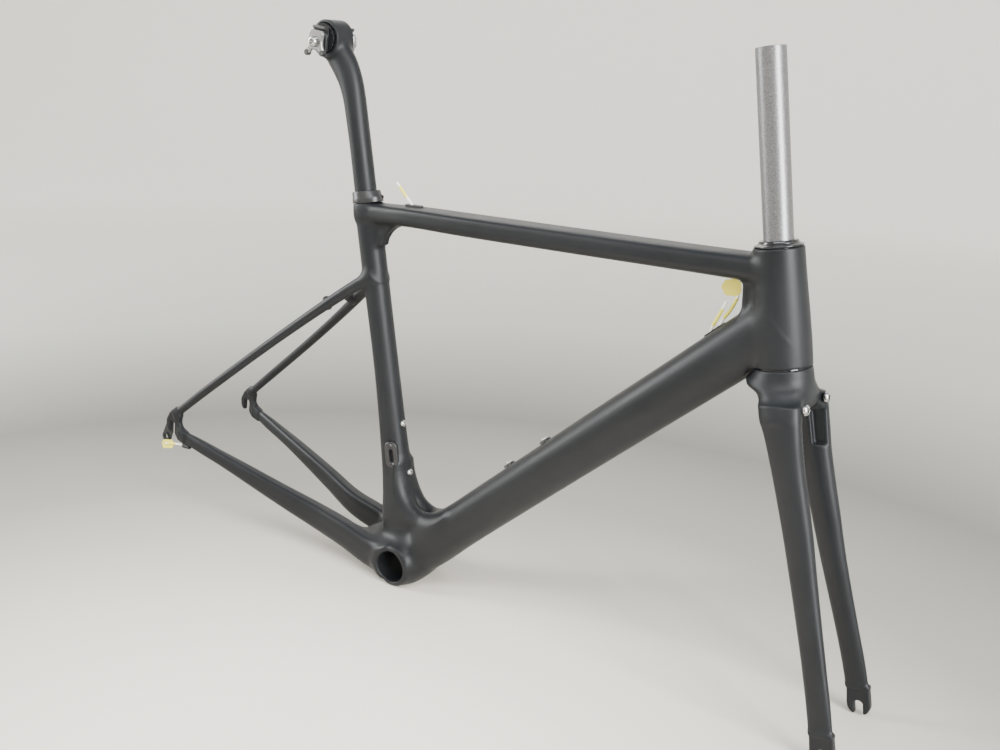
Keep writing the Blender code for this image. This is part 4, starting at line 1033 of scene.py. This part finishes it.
def add_liners(nylon, tape):
    add_liner("liner_rear_brake", Vector((-63.0, 0.0, 449.2)), Vector((-0.80, 0.0, 0.60)),
              [(-81.0, 1.0, 462.0), (-92.0, 2.0, 470.0)], nylon, tape, (0.45, 0.85))
    add_liner("liner_shift_1", on_down_tube(534.0, 28.6), Vector((0.12, -0.03, 0.99)).normalized(),
              [(345.5, -1.5, 435.0), (350.0, -2.5, 448.5)], nylon, tape, (0.35, 0.8))
    add_liner("liner_shift_2", on_down_tube(546.0, 28.8), Vector((0.20, 0.02, 0.98)).normalized(),
              [(354.5, 1.0, 441.0), (359.0, 1.5, 456.0)], nylon, tape, (0.4, 0.95),
              [add_flag("tape_flag_front", [(339.0, 460.0), (342.0, 468.0), (352.0, 471.5), (358.5, 470.0),
                                            (361.0, 461.0), (358.5, 455.0), (345.0, 453.0)], 1.5, tape)])
    add_liner("liner_derailleur", Vector((-381.0, -67.5, 32.8)), Vector((-0.985, -0.10, -0.14)).normalized(),
              [(-402.0, -69.7, 28.4), (-416.0, -70.3, 23.6)], nylon, tape, (0.5, 0.9),
              [add_flag("tape_flag_rear", [(-425.0, 22.0), (-422.0, 14.0), (-402.0, 21.0), (-399.0, 30.0),
                                           (-403.0, 34.0), (-421.0, 28.0)], -70.3, tape)])


# ------------ more materials


def bare_metal():
    """Raw grey tube with a fine speckle."""
    material, nodes, links, shader = new_material("raw_steerer", (0.34, 0.335, 0.34), 0.34, 0.85)
    marks = noise(nodes, links, scale=900.0, detail=4.0, stretch=(1.0, 1.0, 0.8))
    tint = colour_ramp(nodes, links, marks, ((0.35, (0.13, 0.13, 0.135)), (0.68, (0.24, 0.24, 0.245))))
    links.new(tint, shader.inputs["Base Color"])
    links.new(value_range(nodes, links, marks, 0.28, 0.44), shader.inputs["Roughness"])
    add_bump(nodes, links, shader, marks, 0.1, 0.0003)
    return material


def plain(name, colour, roughness, metallic=0.0, spread=0.05):
    """A plain finish whose roughness wanders a little, so that its highlights aren't perfect."""
    material, nodes, links, shader = new_material(name, colour, roughness, metallic)
    wander = noise(nodes, links, scale=900.0, detail=3.0)
    rough = value_range(nodes, links, wander, roughness - spread, roughness + spread)
    links.new(rough, shader.inputs["Roughness"])
    return material


def dress_cad_nodes(finishes):
    """Give each CAD node that still shows its finish and softened edges."""
    for material, names in finishes:
        for name in names:
            node = frame["nodes"][name]
            node.data.materials.clear()
            node.data.materials.append(material)
            soften(node, CAD_EDGE)


def build():
    add_camera()
    carbon = carbon_material()
    bare = bare_metal()
    gloss = plain("gloss_black", (0.010, 0.010, 0.011), 0.10, spread=0.03)
    black = plain("satin_black", (0.014, 0.014, 0.015), 0.34)
    steel = plain("polished_steel", (0.52, 0.52, 0.51), 0.14, 1.0)
    dark_steel = plain("blackened_steel", (0.05, 0.05, 0.052), 0.25, 0.9)
    silver = plain("forged_alloy", (0.36, 0.36, 0.37), 0.16, 1.0)
    rubber = plain("black_rubber", (0.012, 0.012, 0.012), 0.55)
    nylon = plain("white_nylon", (0.90, 0.90, 0.84), 0.4)
    tape = plain("yellow_tape", (0.83, 0.74, 0.10), 0.45)
    add_liners(nylon, tape)
    add_floor()
    add_studio()
    add_moulding("frame_skin", frame_field(), carbon, "frame", FRAME_NODES)
    add_moulding("fork_skin", fork_field(), carbon, "fork", FORK_NODES)
    add_moulding("seatpost_skin", seatpost_field(), carbon, "seatpost", ["seatpost"], cell=1.2)
    add_bolts(steel)
    add_headset_and_steerer(bare, gloss)
    add_collar(black)
    add_clamp(black, silver, steel, gloss, rubber)
    add_mount_plate(black)
    dress_cad_nodes([
        (black, ["derailleur_hanger", "bottle_boss_down_1", "bottle_boss_down_2"]),
        (steel, ["hanger_screw", "headset_lower_bearing", "headset_upper_bearing", "headset_wedge_ring",
                 "clamp_nut"]),
        (dark_steel, ["seat_collar_bolt", "mount_rivet_1", "mount_rivet_2", "headset_crown_race"]),
        (rubber, ["port_top_tube", "port_down_tube", "port_seat_tube", "port_chainstay"])])


build()
